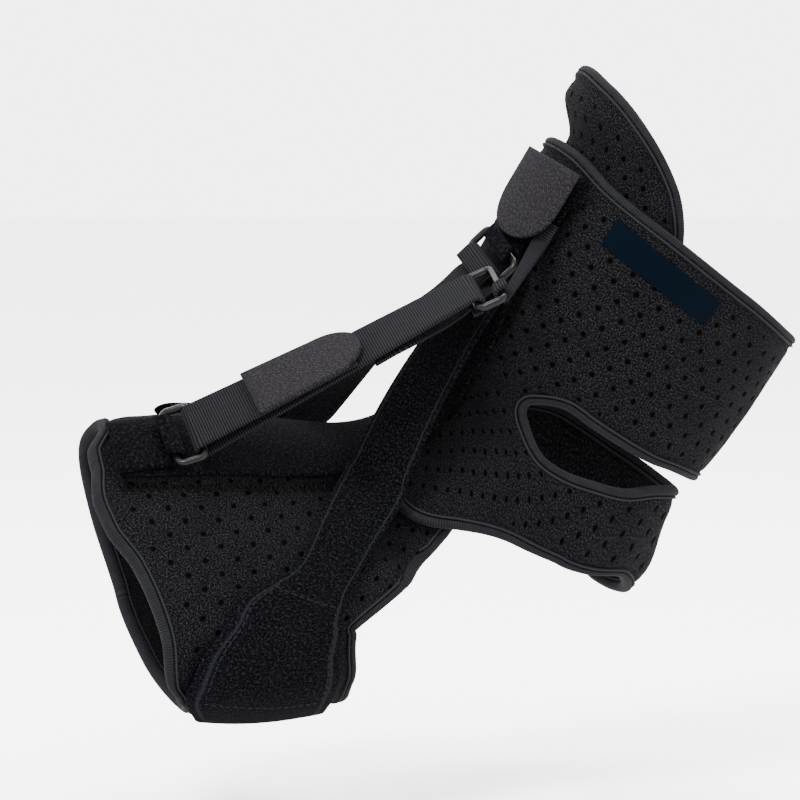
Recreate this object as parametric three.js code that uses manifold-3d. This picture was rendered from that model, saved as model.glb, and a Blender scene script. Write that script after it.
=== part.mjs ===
// Night splint for a left foot, as worn: a shin cuff and heel band, a forefoot wrap, and straps.
// Units are millimetres and degrees. +Z is up, the toes point to -X and the outer side of the foot
// faces -Y. The origin is the centre of the ankle. The shin leans back in the XZ plane.
import * as THREE from "three";
import { mergeVertices } from "three/addons/utils/BufferGeometryUtils.js";
import Module from "manifold-3d";

const wasm = await Module();
wasm.setup();

// Pose and size of the limb that the splint is shaped to
const SHIN_LEAN = 31.5;
const SHIN_TURN = 33.3;
const SHIN_HEIGHT = 150;
const LIMB_DEPTH = 106;
const LIMB_BREADTH = 94;
const FOOT_REACH = 146;
const FOOT_DROP = 82;

// Cloth, tape, webbing and rings
const WALL = 3.4;
const LAYER_GAP = 0.4;
const CLEARANCE = 0.3;
const FLAP_LIFT = 4;
const BINDING_WIDTH = 4.6;
const BINDING_THICKNESS = 4;
const BAND_THICKNESS = 1.3;
const SMALLEST_STEP = 0.25;
const BAND_RISE = 1.4;
const STRAP_WIDTH = 20;
const WEBBING_THICKNESS = 1.3;
const STRAP_THICKNESS = 1.6;
const PLUSH_THICKNESS = 1.5;
const TAB_THICKNESS = 1.5;
const LABEL_THICKNESS = 0.6;
const RING_WIRE = 2.4;
const RING_LENGTH = 9;
const SIDE_STRAP_BOW = 3;
const UPPER_STRAP_DIP = 1.6;
const SEWN_END = 9;

const rad = THREE.MathUtils.degToRad;

// Axes of the shin: up along it, out of its front, and out of its outer side
const shinUp = new THREE.Vector3(Math.sin(rad(SHIN_LEAN)), 0, Math.cos(rad(SHIN_LEAN)));
const acrossLean = new THREE.Vector3(-Math.cos(rad(SHIN_LEAN)), 0, Math.sin(rad(SHIN_LEAN)));
const shinFront = acrossLean.clone().multiplyScalar(Math.cos(rad(SHIN_TURN)));
shinFront.y -= Math.sin(rad(SHIN_TURN));
const shinOuter = new THREE.Vector3().crossVectors(shinUp, shinFront);

// Sections of the limb from the top of the shin, round the bend of the ankle, to the toes.
// ahead, up, down and aside place the centre, as shares of FOOT_REACH, SHIN_HEIGHT, FOOT_DROP and
// LIMB_BREADTH. pitch tips the section forward and roll turns it towards the outer side. front and
// back are shares of LIMB_DEPTH, half is a share of LIMB_BREADTH, and power squares the ellipse.
const SECTIONS = [
  {
    ahead: 0, up: 1, down: 0, aside: 0, pitch: 0, roll: 0,
    front: 0.524, back: 0.472, half: 0.521, power: 2.2,
  },
  {
    ahead: 0, up: 0.667, down: 0, aside: 0, pitch: 0, roll: 0,
    front: 0.519, back: 0.481, half: 0.5, power: 2.2,
  },
  {
    ahead: -0.007, up: 0.4, down: 0, aside: 0, pitch: 0, roll: 0,
    front: 0.519, back: 0.462, half: 0.479, power: 2.2,
  },
  {
    ahead: -0.007, up: 0.2, down: 0, aside: 0, pitch: 8, roll: 0,
    front: 0.509, back: 0.443, half: 0.457, power: 2.1,
  },
  {
    ahead: 0.007, up: 0.027, down: 0, aside: 0, pitch: 24, roll: 0,
    front: 0.491, back: 0.472, half: 0.457, power: 2.1,
  },
  {
    ahead: 0.11, up: 0, down: 0.244, aside: 0, pitch: 48, roll: 8,
    front: 0.434, back: 0.585, half: 0.447, power: 2.1,
  },
  {
    ahead: 0.301, up: 0, down: 0.537, aside: 0, pitch: 70, roll: 22,
    front: 0.34, back: 0.396, half: 0.489, power: 2.2,
  },
  {
    ahead: 0.493, up: 0, down: 0.707, aside: 0, pitch: 80, roll: 32,
    front: 0.283, back: 0.302, half: 0.543, power: 2.3,
  },
  {
    ahead: 0.712, up: 0, down: 0.841, aside: 0.011, pitch: 84, roll: 36,
    front: 0.236, back: 0.255, half: 0.553, power: 2.4,
  },
  {
    ahead: 1, up: 0, down: 1, aside: 0.053, pitch: 84, roll: 38,
    front: 0.17, back: 0.179, half: 0.468, power: 2.5,
  },
];

// Edges of the cloth. around is the angle from the front of the shin or the top of the foot towards
// the outer side, and along counts the sections above, from 0 at the top of the shin.
const CUFF_TOP = [
  { around: -180, along: 1.2 },
  { around: -124, along: 1.1 },
  { around: -90, along: 1.0 },
  { around: -60, along: 0.93 },
  { around: -32, along: 0.88 },
  { around: 0, along: 0.88 },
  { around: 27, along: 0.98 },
  { around: 60, along: 1.05 },
  { around: 92, along: 1.12 },
  { around: 124, along: 1.18 },
  { around: 180, along: 1.2 },
];
const BAND_LOW = [
  { around: -180, along: 3.95 },
  { around: -128, along: 3.93 },
  { around: -104, along: 4.25 },
  { around: -72, along: 4.93 },
  { around: -39, along: 5.58 },
  { around: -10, along: 6.12 },
  { around: 10, along: 6.12 },
  { around: 39, along: 5.58 },
  { around: 72, along: 4.93 },
  { around: 104, along: 4.25 },
  { around: 128, along: 3.93 },
  { around: 180, along: 3.95 },
];
// The slot behind the ankle, measured from the outer side round the back
const SLOT_FRONT = 40.5;
const SLOT_UPPER = [
  { around: 40.5, along: 3.45 },
  { around: 42, along: 3.22 },
  { around: 48, along: 3.08 },
  { around: 60, along: 3.03 },
  { around: 88, along: 2.93 },
  { around: 114, along: 2.8 },
  { around: 180, along: 2.72 },
];
const SLOT_LOWER = [
  { around: 40.5, along: 3.55 },
  { around: 42, along: 3.72 },
  { around: 47, along: 3.88 },
  { around: 60, along: 3.88 },
  { around: 82, along: 3.5 },
  { around: 100, along: 3.18 },
  { around: 114, along: 2.95 },
  { around: 180, along: 2.87 },
];
const TOE_EDGE = [
  { around: -180, along: 8.15 },
  { around: -150, along: 8.4 },
  { around: -110, along: 8.65 },
  { around: -60, along: 8.78 },
  { around: -27, along: 9.0 },
  { around: -4, along: 8.93 },
  { around: 14, along: 8.7 },
  { around: 45, along: 8.47 },
  { around: 81, along: 8.27 },
  { around: 100, along: 7.98 },
  { around: 125, along: 7.84 },
  { around: 158, along: 7.98 },
  { around: 180, along: 8.15 },
];
const REAR_EDGE = [
  { around: -180, along: 6.2 },
  { around: -120, along: 6.25 },
  { around: -88, along: 6.48 },
  { around: -55, along: 6.68 },
  { around: -48, along: 6.5 },
  { around: -40, along: 5.93 },
  { around: -34, along: 5.35 },
  { around: -20, along: 5.1 },
  { around: 20, along: 5.1 },
  { around: 34, along: 5.35 },
  { around: 40, along: 5.93 },
  { around: 48, along: 6.5 },
  { around: 55, along: 6.68 },
  { around: 88, along: 6.48 },
  { around: 120, along: 6.25 },
  { around: 180, along: 6.2 },
];
const FLAP_TOP = [
  { around: -125, along: 1.0 },
  { around: -90, along: 0.7 },
  { around: -60, along: 0.47 },
  { around: -30, along: 0.37 },
  { around: -9, along: 0.38 },
  { around: 18, along: 0.5 },
  { around: 44, along: 0.73 },
  { around: 56, along: 0.93 },
  { around: 66, along: 1.25 },
];
const FLAP_BOTTOM = 1.9;

// The band up the instep and the shin: its middle and its half width, in degrees around
const BAND_COURSE = [
  { along: 1.02, middle: -2, half: 18 },
  { along: 1.9, middle: -4, half: 17 },
  { along: 3, middle: 0, half: 17 },
  { along: 4, middle: -6, half: 17 },
  { along: 5.3, middle: -20, half: 18 },
  { along: 6.2, middle: -27, half: 19 },
  { along: 7.2, middle: -31, half: 19 },
  { along: 8.72, middle: -33, half: 18 },
];

// The wide strap round the sole: its two edges on the outer side, repeated on the inner side
const SOLE_COURSE = [
  { around: 58, toe: 8.12, rear: 7.08 },
  { around: 68, toe: 8.16, rear: 6.95 },
  { around: 82, toe: 8.08, rear: 6.8 },
  { around: 96, toe: 7.82, rear: 6.68 },
  { around: 112, toe: 7.64, rear: 6.56 },
  { around: 140, toe: 7.6, rear: 6.5 },
  { around: 180, toe: 7.65, rear: 6.5 },
];
// The flare of a side strap over it
const FLARE_COURSE = [
  { toeAlong: 6.78, toeAround: -9, rearAlong: 6.2, rearAround: 9, lift: 7 },
  { toeAlong: 7.15, toeAround: 3, rearAlong: 6.6, rearAround: 19, lift: 4.2 },
  { toeAlong: 7.33, toeAround: 12, rearAlong: 6.78, rearAround: 26, lift: 3.9 },
  { toeAlong: 7.48, toeAround: 18, rearAlong: 6.93, rearAround: 33, lift: 4 },
  { toeAlong: 7.7, toeAround: 22, rearAlong: 6.94, rearAround: 38, lift: 3.9 },
  { toeAlong: 7.95, toeAround: 28, rearAlong: 6.95, rearAround: 43, lift: 3.9 },
  { toeAlong: 8.05, toeAround: 38, rearAlong: 6.92, rearAround: 50, lift: 3.9 },
  { toeAlong: 8.18, toeAround: 51, rearAlong: 6.9, rearAround: 60, lift: 3.9 },
  { toeAlong: 8.2, toeAround: 68, rearAlong: 6.78, rearAround: 76, lift: 3.9 },
  { toeAlong: 8.15, toeAround: 82, rearAlong: 6.7, rearAround: 90, lift: 3.9 },
  { toeAlong: 7.9, toeAround: 96, rearAlong: 6.64, rearAround: 100, lift: 3.9 },
];
const INNER_CREST = -30;
const INNER_SQUEEZE = 0.52;

// Where the short sides of each ring stand, off the cloth by lift, and where the front strap ends
const TOE_RING_SIDES = [
  { along: 8.38, around: -40, lift: 8.2 },
  { along: 8.38, around: -13, lift: 10 },
];
const SHIN_RING_SIDES = [
  { along: 1.83, around: -9, lift: 8.2 },
  { along: 1.98, around: 12, lift: 9.4 },
];
const SIDE_RING_SIDES = [
  { along: 2.16, around: 7.9, lift: 15.5 },
  { along: 2.34, around: 23.8, lift: 27.0 },
];
// Where the upper ends of the two side straps are sewn on, under the rings
const LATERAL_END = { along: 2.36, around: 5, lift: 7.1 };
const MEDIAL_END = { along: 2.44, around: -8, lift: 3.6 };
const MEDIAL_TURNED = 0.8;
// Flat lengths of the straps that hold the rings, and of the tab: width is in millimetres
const TOE_ANCHOR = { width: 18, around: -27, alongs: [8.81, 8.77, 8.73], rise: 1.7 };
const SHIN_ANCHOR = { width: 17, around: -2, alongs: [1.2, 1.35, 1.5, 1.6], rise: 0.8 };
const SIDE_ANCHOR = { width: 7, around: 23, alongs: [1.5, 1.6, 1.68], rise: 1.2 };
const SHIN_TAB = { width: 26, around: 0, top: 1.02, bottom: 1.66, rise: 4 };
const LABEL = { left: 33.5, right: 82, topLeft: 1.14, topRight: 1.27, height: 0.22 };

// Cubic through the rows of a table, read at value x of one column
function readTable(rows, key, x, column) {
  const last = rows.length - 1;
  if (x <= rows[0][key]) return rows[0][column];
  if (x >= rows[last][key]) return rows[last][column];
  const i = rows.findIndex((row) => row[key] > x) - 1;
  const slopeAt = (k) => {
    const low = Math.max(k - 1, 0);
    const high = Math.min(k + 1, last);
    return (rows[high][column] - rows[low][column]) / (rows[high][key] - rows[low][key]);
  };
  const width = rows[i + 1][key] - rows[i][key];
  const t = (x - rows[i][key]) / width;
  const startTangent = slopeAt(i) * width;
  const endTangent = slopeAt(i + 1) * width;
  return (
    (2 * t ** 3 - 3 * t ** 2 + 1) * rows[i][column] +
    (t ** 3 - 2 * t ** 2 + t) * startTangent +
    (3 * t ** 2 - 2 * t ** 3) * rows[i + 1][column] +
    (t ** 3 - t ** 2) * endTangent
  );
}

const edge = (rows, around) => readTable(rows, "around", around, "along");

// Each section as one list: centre, direction to the front, direction to the outer side, and sizes
const stations = SECTIONS.map((row) => {
  const centre = new THREE.Vector3()
    .addScaledVector(shinFront, row.ahead * FOOT_REACH)
    .addScaledVector(shinUp, row.up * SHIN_HEIGHT - row.down * FOOT_DROP)
    .addScaledVector(shinOuter, row.aside * LIMB_BREADTH);
  const pitched = shinFront.clone().multiplyScalar(Math.cos(rad(row.pitch)));
  pitched.addScaledVector(shinUp, Math.sin(rad(row.pitch)));
  const top = pitched.clone().multiplyScalar(Math.cos(rad(row.roll)));
  top.addScaledVector(shinOuter, Math.sin(rad(row.roll)));
  const outer = shinOuter.clone().multiplyScalar(Math.cos(rad(row.roll)));
  outer.addScaledVector(pitched, -Math.sin(rad(row.roll)));
  const sizes = [row.front * LIMB_DEPTH, row.back * LIMB_DEPTH, row.half * LIMB_BREADTH, row.power];
  return [...centre.toArray(), ...top.toArray(), ...outer.toArray(), ...sizes];
});

// Catmull-Rom through the sections, carried on in a straight line past both ends
function stationAt(along) {
  const last = stations.length - 1;
  const i = Math.min(Math.max(Math.floor(along), 0), last - 1);
  const t = Math.min(Math.max(along - i, 0), 1);
  const before = (k) => (i > 0 ? stations[i - 1][k] : 2 * stations[0][k] - stations[1][k]);
  const after = (k) => (i < last - 1 ? stations[i + 2][k] : 2 * stations[last][k] - stations[last - 1][k]);
  return stations[i].map((value, k) => {
    const next = stations[i + 1][k];
    const a = 2 * value;
    const b = (next - before(k)) * t;
    const c = (2 * before(k) - 5 * value + 4 * next - after(k)) * t * t;
    const d = (3 * value - before(k) - 3 * next + after(k)) * t ** 3;
    return 0.5 * (a + b + c + d);
  });
}

// A point of the limb's surface, moved outwards by lift
function onLimb(along, around, lift = 0) {
  const [cx, cy, cz, tx, ty, tz, ox, oy, oz, front, back, half, power] = stationAt(along);
  const cos = Math.cos(rad(around));
  const sin = Math.sin(rad(around));
  const reach = Math.sign(cos) * Math.abs(cos) ** (2 / power) * ((cos >= 0 ? front : back) + lift);
  const side = Math.sign(sin) * Math.abs(sin) ** (2 / power) * (half + lift);
  const point = new THREE.Vector3(cx, cy, cz).addScaledVector({ x: tx, y: ty, z: tz }, reach);
  return point.addScaledVector({ x: ox, y: oy, z: oz }, side);
}

// Outward direction of the surface
function outwardAt(along, around) {
  const step = 0.02;
  const turn = 1.5;
  const down = onLimb(along + step, around).sub(onLimb(along - step, around));
  const round = onLimb(along, around + turn).sub(onLimb(along, around - turn));
  return down.cross(round).normalize();
}

const smoothStep = (x, low, high) => THREE.MathUtils.smoothstep(x, low, high);

// How deep the middle of each cloth lies below the limb's surface
const middleOfOuterLayer = () => -WALL / 2;
const DEEP_LAYER = -1.5 * WALL - LAYER_GAP - BINDING_THICKNESS / 2;
function middleOfFootWrap(along, around) {
  const cover = edge(BAND_LOW, Math.abs(around));
  const deep = 1 - smoothStep(along, cover + 0.34, cover + 0.7);
  return THREE.MathUtils.lerp(-WALL / 2, DEEP_LAYER, deep);
}
function middleOfFlap(along, around) {
  const inside = smoothStep(along, 0.56, 0.83);
  const outside = THREE.MathUtils.lerp(FLAP_LIFT - WALL, -1.4 * WALL, smoothStep(around, -10, 45));
  return THREE.MathUtils.lerp(outside, DEEP_LAYER, inside);
}

// One closed geometry from vertices and triangles, with its faces turned outwards
function closedGeometry(positions, triangles) {
  let volume = 0;
  const corner = [new THREE.Vector3(), new THREE.Vector3(), new THREE.Vector3()];
  for (let i = 0; i < triangles.length; i += 3) {
    corner.forEach((point, k) => point.fromArray(positions, 3 * triangles[i + k]));
    volume += corner[0].dot(corner[1].cross(corner[2]));
  }
  if (volume < 0) triangles.reverse();
  const geometry = new THREE.BufferGeometry();
  geometry.setAttribute("position", new THREE.Float32BufferAttribute(positions, 3));
  geometry.setIndex(triangles);
  return geometry;
}

// A wall between two surfaces: pointAt(u, v, side) with u and v from 0 to 1 and side -1 or 1.
// A ring joins its last column to its first.
function wall(columns, rows, isRing, pointAt) {
  const positions = [];
  const triangles = [];
  const across = isRing ? columns : columns + 1;
  const index = (side, i, j) => (side * (rows + 1) + j) * across + (isRing ? i % columns : i);
  for (const side of [-1, 1])
    for (let j = 0; j <= rows; j++)
      for (let i = 0; i < across; i++) positions.push(...pointAt(i / columns, j / rows, side).toArray());
  const quad = (a, b, c, d) => triangles.push(a, b, c, a, c, d);
  for (let i = 0; i < columns; i++)
    for (let j = 0; j < rows; j++) {
      quad(index(1, i, j), index(1, i, j + 1), index(1, i + 1, j + 1), index(1, i + 1, j));
      quad(index(0, i, j), index(0, i + 1, j), index(0, i + 1, j + 1), index(0, i, j + 1));
    }
  for (let i = 0; i < columns; i++) {
    quad(index(0, i, 0), index(1, i, 0), index(1, i + 1, 0), index(0, i + 1, 0));
    quad(index(1, i, rows), index(0, i, rows), index(0, i + 1, rows), index(1, i + 1, rows));
  }
  for (let j = 0; j < rows && !isRing; j++) {
    quad(index(1, 0, j), index(0, 0, j), index(0, 0, j + 1), index(1, 0, j + 1));
    quad(index(0, columns, j), index(1, columns, j), index(1, columns, j + 1), index(0, columns, j + 1));
  }
  return closedGeometry(positions, triangles);
}

// A section carried along frames: each frame has at, wide and high, and widths scales the section
function carry(frames, outline, isLoop) {
  const positions = [];
  const triangles = [];
  const size = outline.length;
  for (const frame of frames)
    for (const [x, y] of outline) {
      const point = frame.at.clone().addScaledVector(frame.wide, x * (frame.scale ?? 1));
      positions.push(...point.addScaledVector(frame.high, y).toArray());
    }
  const steps = isLoop ? frames.length : frames.length - 1;
  for (let i = 0; i < steps; i++)
    for (let k = 0; k < size; k++) {
      const next = ((i + 1) % frames.length) * size;
      const a = i * size + k;
      const b = i * size + ((k + 1) % size);
      triangles.push(a, b, next + ((k + 1) % size), a, next + ((k + 1) % size), next + k);
    }
  for (let k = 1; k < size - 1 && !isLoop; k++) {
    const end = (frames.length - 1) * size;
    triangles.push(0, k + 1, k, end, end + k, end + k + 1);
  }
  return closedGeometry(positions, triangles);
}

// Frames along a list of points, each given with the outward direction there
function framesAlong(stops, isLoop) {
  const count = stops.length;
  return stops.map((stop, i) => {
    const next = isLoop ? stops[(i + 1) % count] : stops[Math.min(i + 1, count - 1)];
    const last = isLoop ? stops[(i + count - 1) % count] : stops[Math.max(i - 1, 0)];
    const ahead = next.at.clone().sub(last.at).normalize();
    const wide = stop.wide
      ? stop.wide.clone().addScaledVector(ahead, -stop.wide.dot(ahead)).normalize()
      : new THREE.Vector3().crossVectors(ahead, stop.out).normalize();
    const high = new THREE.Vector3().crossVectors(wide, ahead).normalize();
    return { at: stop.at, wide, high, scale: stop.scale };
  });
}

const flatOutline = (width, thickness) => [
  [-width / 2, -thickness / 2],
  [width / 2, -thickness / 2],
  [width / 2, thickness / 2],
  [-width / 2, thickness / 2],
];

function roundOutline(width, thickness, sides) {
  return Array.from({ length: sides }, (_, k) => {
    const angle = (2 * Math.PI * (k + 0.5)) / sides;
    const square = 1 / Math.cos(Math.PI / sides);
    return [(Math.cos(angle) * width * square) / 2, (Math.sin(angle) * thickness * square) / 2];
  });
}

// How far an edge steps back, counted in sections, to lie inset millimetres inside its outline
function stepBack(rows, around, inset) {
  const along = edge(rows, around);
  const perSection = onLimb(along + 0.05, around).distanceTo(onLimb(along - 0.05, around)) / 0.1;
  const turn = 2;
  const run = onLimb(edge(rows, around - turn), around - turn);
  const whole = run.distanceTo(onLimb(edge(rows, around + turn), around + turn));
  const level = onLimb(along, around - turn).distanceTo(onLimb(along, around + turn));
  return (inset * Math.min(Math.max(whole / level, 1), 2.2)) / perSection;
}

const clothInset = BINDING_WIDTH + 1.8 * CLEARANCE;

// A ring of cloth round the limb, between two edges that each leave room for their binding
function clothRing(angles, rows, highEdge, lowEdge, middleAt) {
  return wall(angles.length, rows, true, (u, v, side) => {
    const around = angles[Math.round(u * angles.length)];
    const high = edge(highEdge, around) + stepBack(highEdge, around, clothInset);
    const low = edge(lowEdge, around) - stepBack(lowEdge, around, clothInset);
    const along = THREE.MathUtils.lerp(high, low, v);
    return onLimb(along, around, middleAt(along, around) + (side * WALL) / 2);
  });
}

// Binding tape: a bar along a table's edge, inwards by half its width. inwards is 1 where the cloth
// lies further along the limb, and -1 where it lies nearer the top of the shin. room widens it.
function binding(edgeRows, inwards, middleAt, angles, isLoop, room = 0) {
  const stops = angles.map((around) => {
    const along = edge(edgeRows, around) + inwards * stepBack(edgeRows, around, BINDING_WIDTH / 2);
    return { at: onLimb(along, around, middleAt(along, around)), out: outwardAt(along, around) };
  });
  return carry(framesAlong(stops, isLoop), barOutline(room), isLoop);
}

const barOutline = (room) => roundOutline(BINDING_WIDTH + 2 * room, BINDING_THICKNESS + 2 * room, 5);

const anglesFrom = (first, last, count) =>
  Array.from({ length: count }, (_, i) => first + ((last - first) * i) / (count - 1));

const mirrored = (angles) => [...angles.map((angle) => -angle).toReversed(), ...angles.slice(1, -1)];
const WRAP_ANGLES = mirrored(anglesFrom(0, 180, 21));
const FOOT_ANGLES = mirrored([...anglesFrom(0, 28, 3), ...anglesFrom(33, 57, 7), ...anglesFrom(67, 180, 11)]);

// Solids for cutting one shape from another
function solidOf(geometry) {
  const bare = new THREE.BufferGeometry();
  bare.setAttribute("position", geometry.getAttribute("position"));
  bare.setIndex(geometry.index);
  const merged = mergeVertices(bare, 1e-4);
  const vertProperties = new Float32Array(merged.getAttribute("position").array);
  const triVerts = new Uint32Array(merged.index.array);
  return new wasm.Manifold(new wasm.Mesh({ numProp: 3, vertProperties, triVerts }));
}

function geometryOf(solid) {
  const mesh = solid.getMesh();
  const geometry = new THREE.BufferGeometry();
  geometry.setAttribute("position", new THREE.Float32BufferAttribute(mesh.vertProperties, 3));
  geometry.setIndex(Array.from(mesh.triVerts));
  return geometry;
}

// Cloth less the room that bars of tape need, without the loose slivers beyond them
function trimmed(cloth, bars) {
  const left = bars.reduce((solid, bar) => solid.subtract(solidOf(bar)), solidOf(cloth));
  const bodies = left.simplify(SMALLEST_STEP).decompose();
  return geometryOf(bodies.toSorted((a, b) => b.volume() - a.volume())[0]);
}

// The slot is the same on both sides, so an angle past the back reads the tables backwards
const slotAngle = (turn) => (turn <= 180 ? turn : 360 - turn);
const slotEdge = (rows, turn) => edge(rows, slotAngle(turn));
const slotStep = (rows, turn, inset) => stepBack(rows, Math.max(slotAngle(turn), SLOT_FRONT + 6), inset);

function slotCutter() {
  const reach = 2 * WALL;
  const forward = SLOT_FRONT - 6.5;
  return wall(36, 1, false, (u, v, side) => {
    const turn = THREE.MathUtils.lerp(forward, 360 - forward, u);
    const read = Math.min(Math.max(turn, SLOT_FRONT + 1), 360 - SLOT_FRONT - 1);
    const rows = v < 0.5 ? SLOT_UPPER : SLOT_LOWER;
    const away = (v < 0.5 ? -1 : 1) * slotStep(rows, read, clothInset);
    const along = slotEdge(rows, read) + away;
    return onLimb(along, turn, side * reach - WALL / 2);
  });
}

function slotBinding(room = 0) {
  const turns = anglesFrom(SLOT_FRONT, 360 - SLOT_FRONT, 22);
  const stopAt = (rows, turn, sign) => {
    const ends = Math.min(Math.max(turn, SLOT_FRONT + 0.5), 359.5 - SLOT_FRONT);
    const along = slotEdge(rows, ends) + sign * slotStep(rows, ends, BINDING_WIDTH / 2);
    return { at: onLimb(along, turn, -WALL / 2), out: outwardAt(along, turn) };
  };
  const endAt = (turn) => {
    const along = (slotEdge(SLOT_UPPER, turn) + slotEdge(SLOT_LOWER, turn)) / 2;
    const back = turn < 180 ? turn - 2.6 : turn + 2.6;
    return { at: onLimb(along, back, -WALL / 2), out: outwardAt(along, back) };
  };
  const upper = turns.map((turn) => stopAt(SLOT_UPPER, turn, -1));
  const lower = turns.toReversed().map((turn) => stopAt(SLOT_LOWER, turn, 1));
  const loop = [...upper, endAt(360 - SLOT_FRONT), ...lower, endAt(SLOT_FRONT)];
  return carry(framesAlong(loop, true), barOutline(room), true);
}

// The tapes, each with room for itself or with a clearance round it
const cuffBinding = (room) => binding(CUFF_TOP, 1, middleOfOuterLayer, WRAP_ANGLES, true, room);
const bandBinding = (room) => binding(BAND_LOW, -1, middleOfOuterLayer, WRAP_ANGLES, true, room);
const toeBinding = (room) => binding(TOE_EDGE, -1, middleOfFootWrap, FOOT_ANGLES, true, room);
const rearBinding = (room) => binding(REAR_EDGE, 1, middleOfFootWrap, FOOT_ANGLES, true, room);
const flapAngles = anglesFrom(FLAP_TOP[0].around + 2, FLAP_TOP.at(-1).around, 18);
const flapBinding = (room) => binding(FLAP_TOP, 1, middleOfFlap, flapAngles, false, room);

function ankleWrap() {
  const ring = clothRing(WRAP_ANGLES, 7, CUFF_TOP, BAND_LOW, middleOfOuterLayer);
  const bars = [cuffBinding, slotBinding, bandBinding].map((bar) => bar(1.2 * CLEARANCE));
  return trimmed(ring, [slotCutter(), ...bars]);
}

function footWrap() {
  const ring = clothRing(FOOT_ANGLES, 6, REAR_EDGE, TOE_EDGE, middleOfFootWrap);
  return trimmed(ring, [rearBinding(1.2 * CLEARANCE), toeBinding(1.2 * CLEARANCE)]);
}

function innerFlap() {
  const first = FLAP_TOP[0].around + 6;
  const last = FLAP_TOP.at(-1).around - 5;
  const cloth = wall(16, 5, false, (u, v, side) => {
    const around = THREE.MathUtils.lerp(first, last, u);
    const high = edge(FLAP_TOP, around) + stepBack(FLAP_TOP, around, clothInset);
    const along = THREE.MathUtils.lerp(high, FLAP_BOTTOM, v);
    return onLimb(along, around, middleOfFlap(along, around) + (side * WALL) / 2);
  });
  return trimmed(cloth, [flapBinding(1.2 * CLEARANCE)]);
}

function instepBand() {
  const rise = BAND_RISE + BAND_THICKNESS / 2;
  const first = BAND_COURSE[0].along;
  const last = BAND_COURSE.at(-1).along;
  return wall(4, 24, false, (u, v, side) => {
    const along = THREE.MathUtils.lerp(first, last, v);
    const middle = readTable(BAND_COURSE, "along", along, "middle");
    const half = readTable(BAND_COURSE, "along", along, "half");
    const around = middle + half * (2 * u - 1);
    return onLimb(along, around, rise + (side * BAND_THICKNESS) / 2);
  });
}

const bandTop = BAND_RISE + BAND_THICKNESS;

// A sheet between a toe edge and a rear edge, from one angle to another
function coursePanel(rows, columns, course, first, last, lift, thickness) {
  return wall(columns, rows, false, (u, v, side) => {
    const around = THREE.MathUtils.lerp(first, last, v);
    const read = Math.abs(around) > 180 ? 360 - Math.abs(around) : Math.abs(around);
    const toe = readTable(course, "around", read, "toe");
    const rear = readTable(course, "around", read, "rear");
    return onLimb(THREE.MathUtils.lerp(toe, rear, u), around, lift + (side * thickness) / 2);
  });
}

const soleLift = BINDING_THICKNESS / 2 - WALL / 2 + CLEARANCE + STRAP_THICKNESS / 2;

const soleStrap = () => {
  const start = SOLE_COURSE[0].around;
  const end = 360 + INNER_CREST - (start - INNER_CREST) * INNER_SQUEEZE;
  return coursePanel(26, 3, SOLE_COURSE, start, end, soleLift, STRAP_THICKNESS);
};

// Where a ring stands: its centre, the direction of its bars and the direction of its pull. ease
// turns the pull down towards the surface: 0 leaves it in line with the strap.
const placeOf = (place) => onLimb(place.along, place.around, place.lift);
const middleOf = (places) => placeOf(places[0]).add(placeOf(places[1])).multiplyScalar(0.5);
function ringSeat(sides, pullTo, ease) {
  const at = middleOf(sides);
  const wide = placeOf(sides[1]).sub(placeOf(sides[0])).normalize();
  const surface = outwardAt(sides[0].along, (sides[0].around + sides[1].around) / 2);
  const pull = pullTo.clone().sub(at).normalize();
  pull.addScaledVector(surface, -ease * pull.dot(surface));
  pull.addScaledVector(wide, -pull.dot(wide)).normalize();
  const out = new THREE.Vector3().crossVectors(wide, pull).normalize();
  if (out.dot(surface) < 0) out.negate();
  return { at, wide, pull, out };
}

const toeRing = ringSeat(TOE_RING_SIDES, middleOf(SIDE_RING_SIDES), 0.3);
const shinRing = ringSeat(SHIN_RING_SIDES, middleOf(TOE_RING_SIDES), 0.7);
const sideRing = ringSeat(SIDE_RING_SIDES, middleOf(TOE_RING_SIDES), 0);

// A rounded rectangular ring of wire whose two bars lie half of RING_LENGTH from its centre
function ringSolid(seat) {
  const x = STRAP_WIDTH / 2 + 3.6 * CLEARANCE + RING_WIRE / 2;
  const y = RING_LENGTH / 2;
  const corner = RING_WIRE;
  const shape = new THREE.Shape();
  shape.absarc(x - corner, corner - y, corner, -Math.PI / 2, 0);
  shape.absarc(x - corner, y - corner, corner, 0, Math.PI / 2);
  shape.absarc(corner - x, y - corner, corner, Math.PI / 2, Math.PI);
  shape.absarc(corner - x, corner - y, corner, Math.PI, 1.5 * Math.PI);
  const points = shape.getPoints(2).slice(0, -1);
  const stops = points.map((point) => ({
    at: seat.at.clone().addScaledVector(seat.wide, point.x).addScaledVector(seat.pull, point.y),
    out: seat.out,
  }));
  return carry(framesAlong(stops, true), roundOutline(RING_WIRE, RING_WIRE, 6), true);
}

// Stops of a strap round one bar of a ring, from its under side to its upper side. barSide is 1 for
// the bar that the pull comes from and -1 for the other. aside shifts the strap along the bar.
function turnRound(seat, barSide, thickness, aside = 0) {
  const steps = 6;
  const radius = RING_WIRE / 2 + 1.8 * CLEARANCE + thickness / 2;
  const bar = seat.at.clone().addScaledVector(seat.pull, (barSide * RING_LENGTH) / 2);
  bar.addScaledVector(seat.wide, aside);
  return Array.from({ length: steps + 1 }, (_, i) => {
    const angle = Math.PI * (1 - i / steps);
    const at = bar.clone().addScaledVector(seat.out, Math.cos(angle) * radius);
    return { at: at.addScaledVector(seat.pull, -barSide * Math.sin(angle) * radius), wide: seat.wide };
  });
}

// A stop between two others
function between(from, to, t) {
  const wide = from.wide.clone().lerp(to.wide, t).normalize();
  return { at: from.at.clone().lerp(to.at, t), wide };
}

function moved(stop, direction, distance) {
  return { at: stop.at.clone().addScaledVector(direction, distance), wide: stop.wide };
}

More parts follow.
